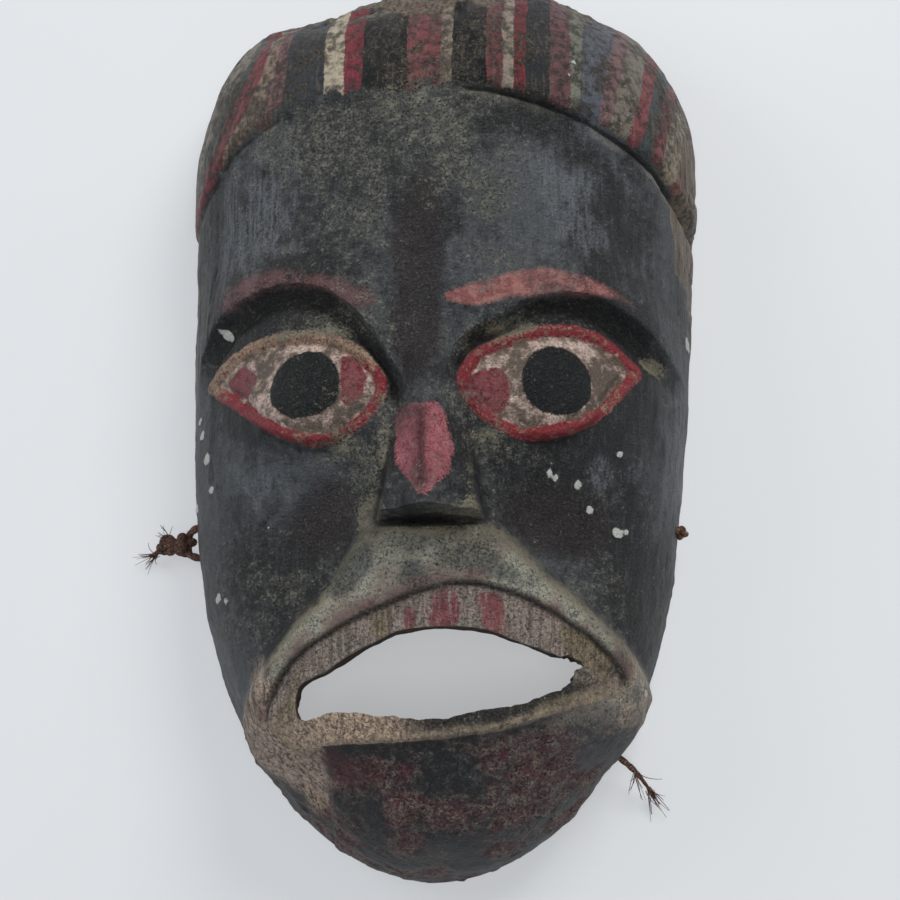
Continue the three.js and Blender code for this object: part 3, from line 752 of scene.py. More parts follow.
# Soft dusty and dark places: across, up, how wide, how tall, how strong
DUSTY = [
    (-18, 86, 22, 20, 0.32), (-38, 78, 20, 14, 0.2), (-8, 98, 9, 16, 0.3), (10, 78, 12, 26, 0.3),
    (-22, 60, 14, 18, 0.2), (28, 17, 12, 4, 0.55), (52, 15, 14, 4, 0.3), (69, 9, 5, 4, 0.6),
    (-38, 16, 22, 4, 0.35), (-24, -24, 9, 10, 0.5), (-14, -26, 6, 14, 0.45), (-20, -40, 7, 10, 0.6),
    (13, -46, 5, 5, 0.5), (12, -8, 6, 8, 0.4), (18, -20, 9, 5, 0.4), (36, -24, 20, 3, 0.3),
    (-42, -22, 20, 4, 0.25), (0, -52, 22, 5, 0.5), (-35, -60, 14, 12, 0.25), (0, -126, 26, 10, 0.1),
    (30, -122, 14, 10, 0.2), (-66, -60, 8, 20, 0.2), (62, -70, 8, 22, 0.2), (20, 50, 10, 12, 0.2),
    (-60, 60, 10, 20, 0.1),
]
LIP_WOOD = [
    (-26, -72, 5, 9, 0.6), (-13, -78, 4, 7, 0.7), (42, -78, 6, 6, 0.8), (47, -84, 6, 6, 0.9),
    (-38, -96, 9, 12, 0.6),
]
MUZZLE_DARK = [
    (-27, -63, 9, 6, 0.8), (12, -58, 12, 6, 0.8), (-19, -57, 5, 5, 0.9), (-5, -61, 5, 8, 0.6),
    (24, -62, 6, 4, 0.6), (30, -68, 8, 5, 0.5), (-42, -84, 6, 7, 0.5),
]
SMOOTH_PAINT = [
    (60, 60, 22, 40, 0.35), (50, -12, 26, 22, 0.35), (-62, 55, 14, 34, 0.25), (-50, -22, 22, 20, 0.35),
    (60, 0, 14, 30, 0.2), (-36, -36, 20, 16, 0.2), (36, -44, 18, 14, 0.2),
]
LIP_LINE_RED = (-8, -60, 26, 9, 0.6)
PALE_JAW = [
    (-50, -94, 9, 14, 0.8), (-46, -107, 9, 11, 1.1), (-37, -118, 7, 12, 0.7), (-33, -108, 4, 5, 0.7),
    (54, -96, 7, 12, 0.6), (60, -82, 6, 10, 0.4),
]
# Pale bluish-grey scuffing that also stands for the paint's sheen: painted sheen on the forehead, cheeks and
# sides
SCUFFS_AND_SHEEN = [
    (47, 55, 9, 18, 0.8), (38, 70, 8, 12, 0.5), (52, 86, 6, 12, 0.7), (66, 30, 8, 20, 0.35),
    (-62, 48, 9, 30, 0.4), (56, -26, 12, 10, 0.5), (-60, -28, 10, 14, 0.45), (64, 66, 7, 14, 0.4),
    (72, -20, 6, 30, 0.4), (-30, 100, 6, 12, 0.5), (-52, 62, 17, 26, 0.75), (-44, -32, 14, 12, 0.45),
    (-80, 10, 5, 60, 0.6), (80, -20, 6, 60, 0.6), (38, 44, 10, 16, 0.4),
]
TAN = [
    (69, 9, 4.5, 3, 1.0), (22, 14, 9, 3, 0.7), (-38, 15, 18, 2.2, 0.7), (36, 15.5, 16, 2.2, 0.6),
    (13, -45, 4, 7, 0.7), (-20, -43, 4, 9, 0.6), (2, -50, 15, 2.2, 0.9), (-13, -22, 3.5, 12, 0.7),
    (-15, -40, 5, 6, 0.7), (12.5, -30, 2.5, 8, 0.5), (18, -19, 9, 2.2, 0.5), (-26, -22, 7, 5, 0.5),
    (-12, 6, 3, 8, 0.35), (12, 8, 3, 6, 0.4),
]
# Darker places: brown-black paint down the forehead and between the brows, then painted shade in the cheek
# hollows
DARK_PAINT_AND_SHADE = [
    (-2, 42, 11, 30, 1.0), (-3, 8, 8, 18, 0.8), (46, -46, 18, 14, 0.8), (-36, -46, 18, 14, 0.8),
    (30, -40, 12, 10, 0.5), (-30, -34, 12, 12, 0.4),
]


# How many steps a painted place's outline has for each of its points
PATCH_STEPS = 12


def soft_places(places, x, y):
    """How strongly soft places, given as across, up, how wide, how tall and how strong, cover a point."""
    total = 0
    for px, py, wide, tall, strong in places:
        total = total + strong * bump((x - px) / wide) * bump((y - py) / tall)
    return total


def closed_outline(points):
    return smooth_curve(points, PATCH_STEPS * len(points), closed=True)[:-1]


def patches(outlines, x, y):
    """How far places lie inside the nearest of several outlines."""
    return np.max([inside(closed_outline(points), x, y) for points in outlines], axis=0)


def discs(places, x, y):
    """How far places lie inside the nearest of several discs given as across, up and radii."""
    return np.max([r * (1 - np.hypot((x - px) / r, (y - py) / s)) for px, py, r, s in places], axis=0)


def above_lip_split(x, y):
    """The height above the line that parts the lips' upper outline from their lower one."""
    return y + 94 - 0.11 * x


def face_fields(bare):
    """What a place on the face is, by name: how far inside or above each carved or painted thing it lies."""
    x, y = bare[..., 0], bare[..., 1]
    across, up = x / HALF_WIDTH, y / HALF_HEIGHT
    small, mid, large = crumble(bare, 3.6, 71), crumble(bare, 9, 72), noise(bare, 30, 73)
    span = by_side(lambda a, u, side: brow_span(a, side), across, up)
    lip = inside(lip_outline, x, y)
    eye = np.maximum(inside(eye_outline["left"], x, y), inside(eye_outline["right"], x, y))
    brows = [above(brow_edge[side], across, up) for side in ("left", "right")]
    brow = np.where(across < NOSE_MIDDLE, *brows)
    low = smooth(1, -3, above_lip_split(x, y))
    mouth = inside(mouth_outline, x, y)
    field = {"band": above(band_edge, across, up), "brow": brow, "eye": eye, "lip": lip, "mouth": mouth}

    # The headband's paint, how worn the black paint is, and where it is darker, with painted shade in the
    # cheek hollows
    lost_edge = smooth(-58, -48, x) * smooth(16, 4, x)
    field["band_paint"] = field["band"] + 0.4 * small + lost_edge * (2.6 * mid + 1.6 * small - 1)
    lean = 0.6 * smooth(-42, -62, x) + 0.18 * smooth(40, 60, x)
    field["stripe"] = x - lean * (np.minimum(y, 116) - 96) + 0.7 * noise(bare, (5, 20, 5), 74) + 0.25 * small
    field["tone"] = 0.5 + 0.5 * large + 0.2 * mid
    field["patchy"] = 0.5 + 0.4 * mid + 0.15 * small
    # Brown-black paint on the forehead, and painted shade in the cheek hollows
    field["dark"] = smooth(0.35, 0.75, soft_places(DARK_PAINT_AND_SHADE, x, y) + 0.16 * mid)

    # The brows, the eyes and the nose
    # Painted shade under the brows' overhang, above the eyes
    under = smooth(0.6, -0.6, brow + 0.25 * small) * smooth(-10.5, -4, brow + 0.8 * mid) * span
    field["shade_under_brow"] = under * smooth(0.3, -0.8, eye)
    field["eye_paint"] = eye + 0.35 * small
    field["rim_worn"] = smooth(-4, 8, y) * smooth(14, -10, x)
    field["white"] = eye - 3.7 + 0.8 * small + 0.5 * mid
    field["pupil"] = discs(PUPILS, x, y) + 0.35 * small
    field["red_brow"] = patches([RED_BROW], x, y) + 0.5 * small
    field["dull_brow"] = smooth(-2, 2, patches([DULL_BROW], x, y) + 1.6 * mid) * smooth(0, 1.2, brow)
    field["nose_red"] = patches([NOSE_RED], x, y) + 0.6 * small
    # A dark red line down the left of the nose's ridge: painted shade on its shaded side
    nose_length = smooth(-10, -14, y) * smooth(-41, -37, y)
    field["nose_line"] = bump((x + 0.6 + 0.03 * (y + 25) + 0.3 * small) / 1.9) * nose_length
    # Painted shade under the nose's tip: a dark band below it
    drop = y - NOSE_TIP * HALF_HEIGHT
    field["shade_under_nose"] = smooth(0.6, -0.6, drop) * smooth(-3.2, -1.8, drop) * smooth(19, 16, np.abs(x - 1))
    field["eye_red"] = patches([RIGHT_EYE_PATCH, *LEFT_EYE_PATCHES], x, y) + 0.7 * small

    # The lips, and the red below them
    field["lip_red"] = patches(LIP_REDS, x, y) + 0.5 * small
    field["chin_red"] = smooth(-2, 2.5, patches([CHIN_RED], x, y) + 1.5 * mid)
    field["lip_paint"] = lip + 0.3 * small
    lip_middle = smooth(-16, 4, x + 3 * mid) * smooth(47, 40, x)
    field["lip_dark"] = low * lip_middle * smooth(1.6, 2.8, lip + 0.7 * mid)
    field["lip_pale"] = low * smooth(8, -14, x + 2 * mid)
    field["lip_wood"] = smooth(0.35, 0.7, 0.35 * mid + soft_places(LIP_WOOD, x, y))
    field["crease"] = low * bump((lip - 1.4 + 0.5 * small) / 1.5)
    field["lip_line"] = (1 - low) * bump((lip + 0.3 * small) / 0.8)

    # The jaw, the muzzle and the chin
    field["jaw"] = smooth(0.3, 0.7, soft_places(PALE_JAW, x, y) + 0.2 * mid) * smooth(0.8, -0.4, lip)
    # Pale bluish-grey scuffing and painted sheen on the black paint
    scuffs_and_sheen = soft_places(SCUFFS_AND_SHEEN, x, y) + 0.4 * noise(bare, (3.5, 6, 3.5), 75) + 0.2 * mid
    field["scuff_and_sheen"] = smooth(0.35, 0.9, scuffs_and_sheen)
    reddened = smooth(-0.3, 0.4, mid + soft_places([LIP_LINE_RED], x, y))
    field["line_red"] = (1 - low) * bump((lip + 1.9) / 2.2) * reddened
    above_chin = smooth(-106, -88, y + 6 * mid)
    muzzle = -above(muzzle_edge, across, up)
    greyed = smooth(-2, 4, muzzle + 1.5 * mid) * above_chin * smooth(0.5, -0.5, lip)
    field["muzzle"] = greyed * smooth(-0.9, 0.3, mid + 0.6)
    field["muzzle_rim"] = bump((muzzle - 1 + 1.2 * mid) / 2.2) * above_chin * smooth(0.5, -1, lip)
    field["muzzle_dark"] = smooth(0.4, 0.75, soft_places(MUZZLE_DARK, x, y) + 0.25 * mid)
    browned = smooth(-0.7, 0.5, mid + 0.25 * large)
    field["chin"] = smooth(0, -3, lip) * smooth(-94, -108, y + 5 * mid) * browned

    # What lies on the paint, and where it is worn through
    field["tan"] = soft_places(TAN, x, y) + 0.25 * mid
    band_line = bump((field["band"] + 3.2 + 0.2 * small) / 0.7) * smooth(6, 16, x)
    field["band_lip"] = band_line * smooth(0.2, 0.6, 0.5 + 0.5 * mid)
    field["drop"] = discs([(px, py, 0.7 * r, 0.95 * r) for px, py, r in DROPS], x, y) + 0.55 * small
    field["dust"] = np.clip(soft_places(DUSTY, x, y) + 0.12 * mid + 0.1 * large, 0, 1)
    band = smooth(-1, 2, field["band"])
    field["dust"] *= 1 - 0.75 * band
    crust = 0.34 + field["dust"] + 0.2 * mid - 0.26 * band - soft_places(SMOOTH_PAINT, x, y)
    field["crust"] = np.clip(crust - 0.25 * field["dark"], 0.04, 1)
    crown = 0.75 * smooth(118, 140, y + 9 * mid + 3 * small)
    frayed_y = y + 10 * mid + 3 * small
    wood = smooth(74.5, 78.5, x + 0.8 * mid) * smooth(20, 60, frayed_y) * smooth(100, 80, frayed_y)
    wood = np.maximum(wood, 0.6 * smooth(-77, -81, x + mid))
    wood = np.maximum(wood, crown)
    field["wood"] = np.clip(wood + 0.2 * mid * (wood > 0.05), 0, 1)
    return field


# Sizes of the finer carving, in millimetres
RIM_CREST = 0.8
RIM_GUTTER = 0.7
PUPIL_EDGE = 0.35
UNDERCUT = 3.0
BAND_GROOVE = 1.3
LIP_GROOVE = 0.9
CREASE_RIDGE = 0.9
NOSE_LINE = 0.6
TOOL_MARKS = 0.45
CHIPS, NICKS = 0.9, 0.8
CORNER_CRUMBS, WORN_LIP = 1.7, 0.35
RAW_WOOD, WOOD_GRAIN, CRACK = 0.3, 0.22, 0.8
WORM_HOLE_DEPTH = 1.6
CRUST = 0.16
BARK_LUMPS, BARK_CRACKS = 1.1, 0.7
DROP_HEIGHT = 0.35
JAW_FILL = 2.2
CROWN_WEAR = 1.3
CROWN_CRUMBS = 0.9
# Where the crown has lost wood: across, how wide, how deep
CROWN_LOSSES = [(-38, 16, 4.2), (52, 16, 2.4)]
# The jaw's line at the right: up, how tall, how high
JAW_LUMPS = [(-105, 8, -1.3), (-92, 6, 0.9)]
# The cuts beside the nose's wings: across, its lean, up, how tall, how deep
NOSE_WINGS = [(11.5, 0.12, -38, 6, 1.3), (-9.5, -0.12, -39, 5, 0.7)]


def fine_carving(bare, field):
    """What the solids leave out: rims, grooves, undercuts, tool marks, chips and crust."""
    x, y = bare[..., 0], bare[..., 1]
    across = x / HALF_WIDTH
    span = by_side(lambda a, u, side: brow_span(a, side), across, y)
    eye = RIM_CREST * bump((field["eye"] - 1.6) / 1.4) - RIM_GUTTER * bump((field["eye"] - 4.3) / 1.1)
    pupil = PUPIL_EDGE * smooth(-0.5, 0.5, field["pupil"]) - PUPIL_EDGE * bump(field["pupil"] / 0.6)
    outside_eye = smooth(0.5, -1.5, field["eye"])
    undercut = -UNDERCUT * span * bump((field["brow"] + 3.4) / 2.6) * outside_eye
    kept_edge = smooth(6, 16, x) + 0.5 * smooth(-52, -62, x)
    deeper_end = 1 + 0.9 * smooth(60, 74, x)
    groove = -BAND_GROOVE * deeper_end * kept_edge * bump((field["band"] + 0.9) / 1.15)
    upper = smooth(-3, 2, above_lip_split(x, y))
    lips = -LIP_GROOVE * upper * bump(field["lip"] / 0.7)
    lips = lips + CREASE_RIDGE * (1 - upper) * bump((field["lip"] - 1.2) / 1.4)
    nose_line = -NOSE_LINE * bump((x + 0.3) / 0.6) * smooth(-8, -12, y) * smooth(-40, -34, y)
    wing = 0
    for px, lean, py, tall, deep in NOSE_WINGS:
        wing = wing - deep * bump((x - px - lean * (y + 40)) / 1.1) * bump((y - py) / tall)
    tools = TOOL_MARKS * noise(bare, 13, 31) + 0.5 * TOOL_MARKS * noise(bare, (5, 16, 5), 32)
    facets = 0.5 * TOOL_MARKS * np.abs(noise(bare, (9, 22, 9), 33))
    crown = -CROWN_WEAR * smooth(112, 132, y) * np.maximum(0, crumble(bare, (9, 14, 9), 34) + 0.1)
    losses = sum(deep * bump((x - px) / wide) for px, wide, deep in CROWN_LOSSES)
    crown -= smooth(116, 136, y) * (losses - CROWN_CRUMBS * crumble(bare, (5, 8, 5), 46))
    chips = -CHIPS * smooth(0.55, 0.9, noise(bare, 6, 35)) * smooth(0.2, 0.6, noise(bare, 30, 36))
    band_foot = smooth(-3, 2, field["band"]) * smooth(12, 3, field["band"])
    nicks = -NICKS * smooth(0.45, 0.8, noise(bare, (6, 9, 6), 37)) * band_foot
    corner = bump((x - 46) / 7) * bump((y + 88) / 6)
    crumbs = CORNER_CRUMBS * corner * crumble(bare, 2.8, 38) * smooth(-9, -4, field["mouth"])
    worn_lip = WORN_LIP * crumble(bare, 3.2, 39) * smooth(-7, -2, field["mouth"])
    raw = RAW_WOOD * field["wood"] * crumble(bare, (3, 9, 3), 40)
    holes = sum(-WORM_HOLE_DEPTH * bump(np.hypot(x - px, y - py) / r) for px, py, r in WORM_HOLES)
    crust = CRUST * (0.3 + 2 * field["crust"]) * crumble(bare, 2.4, 41)
    bark = BARK_LUMPS * crumble(bare, 5.5, 44) - BARK_CRACKS * np.abs(noise(bare, (7, 3, 7), 45))
    bark = field["chin"] * bark
    jaw_line = sum(high * bump((y - py) / tall) for py, tall, high in JAW_LUMPS) * smooth(48, 62, x)
    jaw_fill = JAW_FILL * bump((y + 68) / 26) * (0.7 * smooth(50, 68, x) + 0.35 * smooth(-50, -68, x))
    drops = DROP_HEIGHT * smooth(-0.3, 0.5, field["drop"])
    grain = WOOD_GRAIN * smooth(0.62, 0.85, np.abs(across)) * noise(bare, (1.3, 30, 1.3), 42)
    crack_length = smooth(-20, 0, y) * smooth(70, 50, y)
    crack = -CRACK * bump((x + 70.5 + 0.8 * noise(bare, 12, 43)) / 0.55) * crack_length
    total = eye + pupil + undercut + groove + lips + nose_line + wing + tools + facets + crown
    total = total + chips + nicks + crumbs + worn_lip + raw + holes + crust + bark
    return total + jaw_fill + jaw_line + drops + grain + crack


# The skins' rows and columns, their edges at the rim, the hollow's scoops and the cutters, in millimetres
EDGE_ROUND = 1.4
BAND_ROW = 80.0
FINE_ROWS, FINE_COLUMNS, FINE_FINENESS = 330, 242, 0.8
GOUGE_ROWS, GOUGE_COLUMNS, GOUGE_FINENESS = 120, 84, 0.2
GOUGE_DEPTH = 1.3
GOUGE_SIZE = (11, 24)
GOUGE_START = 800
HOLLOW_CRUMBS = 0.2
DRILL_POINTS, DRILL_SIDES = 12, 20
CUT_STEP = 1.1
SMOOTHINGS = 14
SHARP_ANGLE = 50


def gouges(u, v, seed):
    """Overlapping scoops, from 0 in each scoop's middle up to the ridges between them."""
    random = np.random.default_rng(seed)
    shift = random.uniform(-0.38, 0.38, (64, 64, 2))
    place = np.stack([u / GOUGE_SIZE[0], v / GOUGE_SIZE[1]], axis=-1)
    cell = np.floor(place).astype(int)
    nearest = np.full(u.shape, 9.0)
    for step in itertools.product((-1, 0, 1), repeat=2):
        spot = cell + step
        middle = spot + 0.5 + shift[spot[..., 0] % 64, spot[..., 1] % 64]
        nearest = np.minimum(nearest, np.linalg.norm(place - middle, axis=-1))
    return nearest


def closed_body(name, rows, heights, floor=None):
    """A closed mesh from rows of points, taken down to a floor or closed flat at the rim."""
    if floor is not None:
        right, left = rows[:, :1].copy(), rows[:, -1:].copy()
        right[..., 2] = left[..., 2] = floor
        rows = np.concatenate([rows, left, right], axis=1)
        heights = np.pad(heights, ((0, 0), (0, 2)))
    count = rows.shape[1]
    a = np.arange((len(rows) - 1) * count)
    b = a // count * count + (a % count + 1) % count
    height = heights.reshape(-1)
    rising = np.abs(height[a] - height[b + count]) < np.abs(height[b] - height[a + count])
    rising = rising[:, None]
    under_a, under_b = a + count, b + count
    first = np.where(rising, np.stack([a, under_a, under_b], 1), np.stack([a, under_a, b], 1))
    second = np.where(rising, np.stack([a, under_b, b], 1), np.stack([b, under_a, under_b], 1))
    return merged(name, rows.reshape(-1, 3), np.concatenate([first, second]))


def merged(name, points, triangles):
    """An object from triangles, once its meeting corners are one and its flattened triangles gone."""
    points, place = np.unique(np.round(points, 4), axis=0, return_inverse=True)
    triangles = place.reshape(-1)[triangles]
    a, b, c = triangles.T
    return mesh_object(name, points, triangles[(a != b) & (b != c) & (c != a)])


def rounded_rim(points, outwards):
    """The skin's edge at the rim, drawn in or let out so that it is rounded."""
    low = np.clip(EDGE_ROUND - points[..., 2], 0, EDGE_ROUND)
    shift = EDGE_ROUND - np.sqrt(np.maximum(0, EDGE_ROUND**2 - low**2))
    middle = section(points[..., 1], 0)[2]
    moved = points.copy()
    reach = np.maximum(1, np.abs(points[..., 0] - middle))
    moved[..., 0] += outwards * shift * np.sign(points[..., 0] - middle) * np.minimum(1, reach / 8)
    return moved


def along_band(ys, angles):
    """The rows' y for every column, bent so that one row runs along the headband's lower edge."""
    edge = np.full(angles.shape, BAND_ROW)
    for _ in range(20):
        place = shell_point(edge, angles, 0)
        edge = edge - 0.6 * above(band_edge, place[..., 0] / HALF_WIDTH, place[..., 1] / HALF_HEIGHT)
    edge = np.clip(edge, BAND_ROW - 24, BAND_ROW + 18)
    return ys + (edge - BAND_ROW) * smooth(30, BAND_ROW - 2, ys) * smooth(142, BAND_ROW + 2, ys)


def outer_skin():
    ys, angles = grid_of(0, FINE_ROWS, FINE_COLUMNS, FINE_FINENESS)
    bare = shell_point(along_band(ys, angles), angles, 0)
    field = face_fields(bare)
    fade = smooth(0, RIM_FADE, bare[..., 2])
    near_rim = smooth(0.5, 5, bare[..., 2])
    coarse = carving(bare[..., 0] / HALF_WIDTH, bare[..., 1] / HALF_HEIGHT) * fade
    heights = coarse + fine_carving(bare, field) * near_rim
    heights[[0, -1]] = 0
    return bare, field, heights


def hollow_skin():
    ys, angles = grid_of(WALL, GOUGE_ROWS, GOUGE_COLUMNS, GOUGE_FINENESS)
    bare = shell_point(ys, angles, WALL)
    girth = np.pad(np.cumsum(np.linalg.norm(np.diff(bare, axis=1), axis=2), axis=1), ((0, 0), (1, 0)))
    scoops = gouges(girth - girth[:, -1:] / 2 + GOUGE_START, bare[..., 1] + GOUGE_START, 51)
    fade = smooth(0, RIM_FADE, bare[..., 2])
    heights = broad_forms(bare[..., 0] / HALF_WIDTH, bare[..., 1] / HALF_HEIGHT) * fade
    heights += GOUGE_DEPTH * (0.3 - np.minimum(scoops, 0.8) ** 2) * smooth(1, 8, bare[..., 2])
    heights += HOLLOW_CRUMBS * crumble(bare, 4, 52) * smooth(1, 6, bare[..., 2])
    heights[[0, -1]] = 0
    return bare, heights, scoops


def mouth_cutter():
    """The mouth's cut, with ragged walls."""
    outline = smooth_curve(mouth_outline, 300, closed=True)[:-1]
    levels = np.arange(WALL, FACE_DEPTH + NOSE_TIP_RAISE, CUT_STEP)
    places = np.tile(outline, (len(levels), 1))
    rows = np.concatenate([places, np.repeat(levels, len(outline))[:, None]], axis=1)
    rows = rows.reshape(len(levels), -1, 3)
    out = outline - np.roll(outline, 1, axis=0) + np.roll(outline, -1, axis=0) - outline
    out = np.stack([out[:, 1], -out[:, 0]], axis=1) / np.linalg.norm(out, axis=1, keepdims=True)
    turned = np.sign((out * (outline - outline.mean(0))).sum())
    lower = smooth(-90, -98, rows[..., 1])
    corner = bump((rows[..., 0] - 43) / 5) * bump((rows[..., 1] + 89) / 6)
    ragged = (0.3 + 0.4 * lower) * noise(rows, 5, 61)
    ragged += (0.15 + 0.25 * lower + 1.5 * corner) * crumble(rows, 2.6, 62)
    rows[..., :2] += turned * out[None] * ragged[..., None]
    count = rows.shape[1]
    a = np.arange((len(rows) - 1) * count)
    b = a // count * count + (a % count + 1) % count
    sides = np.concatenate([np.stack([a, b, b + count], 1), np.stack([a, b + count, a + count], 1)])
    points = np.concatenate([rows.reshape(-1, 3), rows[0].mean(0)[None], rows[-1].mean(0)[None]])
    ring = np.arange(count)
    following = (ring + 1) % count
    last = (len(rows) - 1) * count
    bottom = np.stack([following, ring, np.full(count, len(points) - 2)], 1)
    top = np.stack([last + ring, last + following, np.full(count, len(points) - 1)], 1)
    triangles = np.concatenate([sides, bottom, top])
    after = np.roll(outline, -1, axis=0)
    area = (outline[:, 0] * after[:, 1] - outline[:, 1] * after[:, 0]).sum()
    return mesh_object("mouth_cutter", points, triangles if area > 0 else triangles[:, ::-1])


def drills():
    parts = []
    for hole in (left_top, left_low, right_hole, low_hole):
        line = np.linspace(hole.beyond(WALL), hole.within(WALL), DRILL_POINTS)
        parts.append(tube(line, CORD_RADIUS + HOLE_CLEARANCE, DRILL_SIDES))
    return joined("drills", parts)


def nearest_of(points, places):
    """The number of the nearest of several points, in millimetres, to each place in metres."""
    points = (points.reshape(-1, 3) * MM).tolist()
    tree = KDTree(len(points))
    for number, point in enumerate(points):
        tree.insert(point, number)
    tree.balance()
    return np.array([tree.find(place)[1] for place in places])


def cut(target, cutter):
    """Takes the cutter's space out of the target."""
    modifier = target.modifiers.new("cut", "BOOLEAN")
    modifier.operation = "DIFFERENCE"
    modifier.solver = "MANIFOLD"
    modifier.object = cutter
    made = bpy.data.meshes.new_from_object(target.evaluated_get(bpy.context.evaluated_depsgraph_get()))
    target.modifiers.clear()
    target.data = made
    bpy.data.objects.remove(cutter)


def set_field(mesh, name, values):
    mesh.attributes.new(name, "FLOAT", "POINT").data.foreach_set("value", values.astype(np.float32))


def make_mask():
    bare, field, heights = outer_skin()
    face = rounded_rim(displaced(bare, heights), -1)
    inner_bare, inner_heights, scoops = hollow_skin()
    inner = rounded_rim(displaced(inner_bare, inner_heights), 1)
    mask = closed_body("mask", face, heights)
    count = face.shape[1]
    a = np.arange(len(face) * count).reshape(len(face), count)
    quads = np.stack([a[:-1, :-1], a[1:, :-1], a[1:, 1:], a[:-1, 1:]], axis=-1).reshape(-1, 4)
    face_tree = BVHTree.FromPolygons((face.reshape(-1, 3) * MM).tolist(), quads.tolist())
    cut(mask, closed_body("hollow", inner, inner_heights, -WALL))
    cut(mask, mouth_cutter())
    cut(mask, drills())
    mesh = mask.data
    places = [vertex.co[:] for vertex in mesh.vertices]
    nearest = nearest_of(face, places)
    set_field(mesh, "depth", np.array([face_tree.find_nearest(place)[3] for place in places]) / MM)
    for name, values in field.items():
        set_field(mesh, name, values.reshape(-1)[nearest])
    smoothed = heights.copy()
    for _ in range(SMOOTHINGS):
        middle, above_it, below_it = smoothed[1:-1, 1:-1], smoothed[:-2, 1:-1], smoothed[2:, 1:-1]
        before, after = smoothed[1:-1, :-2], smoothed[1:-1, 2:]
        smoothed[1:-1, 1:-1] = (middle + above_it + below_it + before + after) / 5
    set_field(mesh, "ridge", (heights - smoothed).reshape(-1)[nearest])
    set_field(mesh, "scoop", scoops.reshape(-1)[nearest_of(inner, places)])
    mesh.shade_smooth()
    mesh.set_sharp_from_angle(angle=math.radians(SHARP_ANGLE))
    return mask


def colour(code):
    """A colour as the shaders want it, from a code such as 8a7256."""
    parts = [int(code[i : i + 2], 16) / 255 for i in (0, 2, 4)]
    return (*(c / 12.92 if c <= 0.04045 else ((c + 0.055) / 1.055) ** 2.4 for c in parts), 1)


class Graph:
    """A material's nodes, with short names for the steps that the finishes share."""

    def __init__(self, name):
        self.material = bpy.data.materials.new(name)
        self.material.use_nodes = True
        self.tree = self.material.node_tree
        self.tree.nodes.clear()
        here = self.node("ShaderNodeTexCoord").outputs["Object"]
        scaled = self.node("ShaderNodeVectorMath", {"operation": "SCALE"}, Vector=here, Scale=1 / MM)
        self.place = scaled.outputs[0]

    def node(self, kind, settings=None, **inputs):
        made = self.tree.nodes.new(kind)
        for name, value in (settings or {}).items():
            setattr(made, name, value)
        for name, value in inputs.items():
            self.put(made.inputs[name], value)
        return made

    def put(self, socket, value):
        if isinstance(value, bpy.types.NodeSocket):
            self.tree.links.new(value, socket)
        else:
            socket.default_value = value

    def field(self, name):
        return self.node("ShaderNodeAttribute", {"attribute_name": name}).outputs["Fac"]

    def math(self, operation, *values):
        made = self.node("ShaderNodeMath", {"operation": operation})
        for socket, value in zip(made.inputs, values):
            self.put(socket, value)
        return made.outputs[0]

    def noise(self, size, detail=3, roughness=0.6, stretch=(1, 1, 1), warp=0.0):
        """Noise from 0 to 1 with lumps of a size in millimetres, stretched along the axes."""
        shares = [1 / (size * s) for s in stretch]
        scaled = self.node("ShaderNodeMapping", Vector=self.place, Scale=shares).outputs[0]
        grain = {"Detail": detail, "Roughness": roughness, "Distortion": warp}
        return self.node("ShaderNodeTexNoise", Vector=scaled, Scale=1.0, **grain).outputs["Fac"]

    def step(self, value, zero_at, one_at):
        made = self.node("ShaderNodeMapRange", {"interpolation_type": "SMOOTHSTEP"}, Value=value)
        if zero_at > one_at:
            made.inputs["To Min"].default_value, made.inputs["To Max"].default_value = 1, 0
            zero_at, one_at = one_at, zero_at
        made.inputs["From Min"].default_value, made.inputs["From Max"].default_value = zero_at, one_at
        return made.outputs["Result"]

    def mix(self, factor, a, b, blend="MIX"):
        made = self.node("ShaderNodeMix", {"data_type": "RGBA", "blend_type": blend})
        self.put(made.inputs["Factor"], factor)
        for socket, value in ((made.inputs[6], a), (made.inputs[7], b)):
            self.put(socket, colour(value) if isinstance(value, str) else value)
        return made.outputs[2]

    def times(self, *values):
        total = values[0]
        for value in values[1:]:
            total = self.math("MULTIPLY", total, value)
        return total

    def add(self, *values):
        total = values[0]
        for value in values[1:]:
            total = self.math("ADD", total, value)
        return total

    def finish(self, base, roughness, height, distance, **sockets):
        bump_node = self.node("ShaderNodeBump", Height=height, Distance=distance * MM)
        shader = self.node("ShaderNodeBsdfPrincipled", Normal=bump_node.outputs[0])
        self.put(shader.inputs["Base Color"], base)
        self.put(shader.inputs["Roughness"], roughness)
        for name, value in sockets.items():
            self.put(shader.inputs[name.replace("_", " ")], value)
        out = self.node("ShaderNodeOutputMaterial")
        self.tree.links.new(shader.outputs[0], out.inputs["Surface"])
        return self.material


# The finishes: sizes of grain and heights of relief in millimetres, roughness, sheen and glow from 0 to 1
FINE_GRAIN, SMALL_GRAIN, STREAK_WIDTH, CRACKLE_SIZE = 0.85, 2.9, 1.3, 2.3
PAINT_ROUGHNESS, PAINT_RELIEF = 0.36, 1.2
SHEEN, DULLER_SHEEN = 0.36, 0.16
FIBRE_GRAIN, FIBRE_LUMPS = 0.6, 4
FIBRE_ROUGHNESS, FIBRE_RELIEF = 0.92, 0.15
GROUND_GRAIN = 90
GROUND_ROUGHNESS, GROUND_RELIEF, GROUND_GLOW = 0.9, 0.01, 0.5

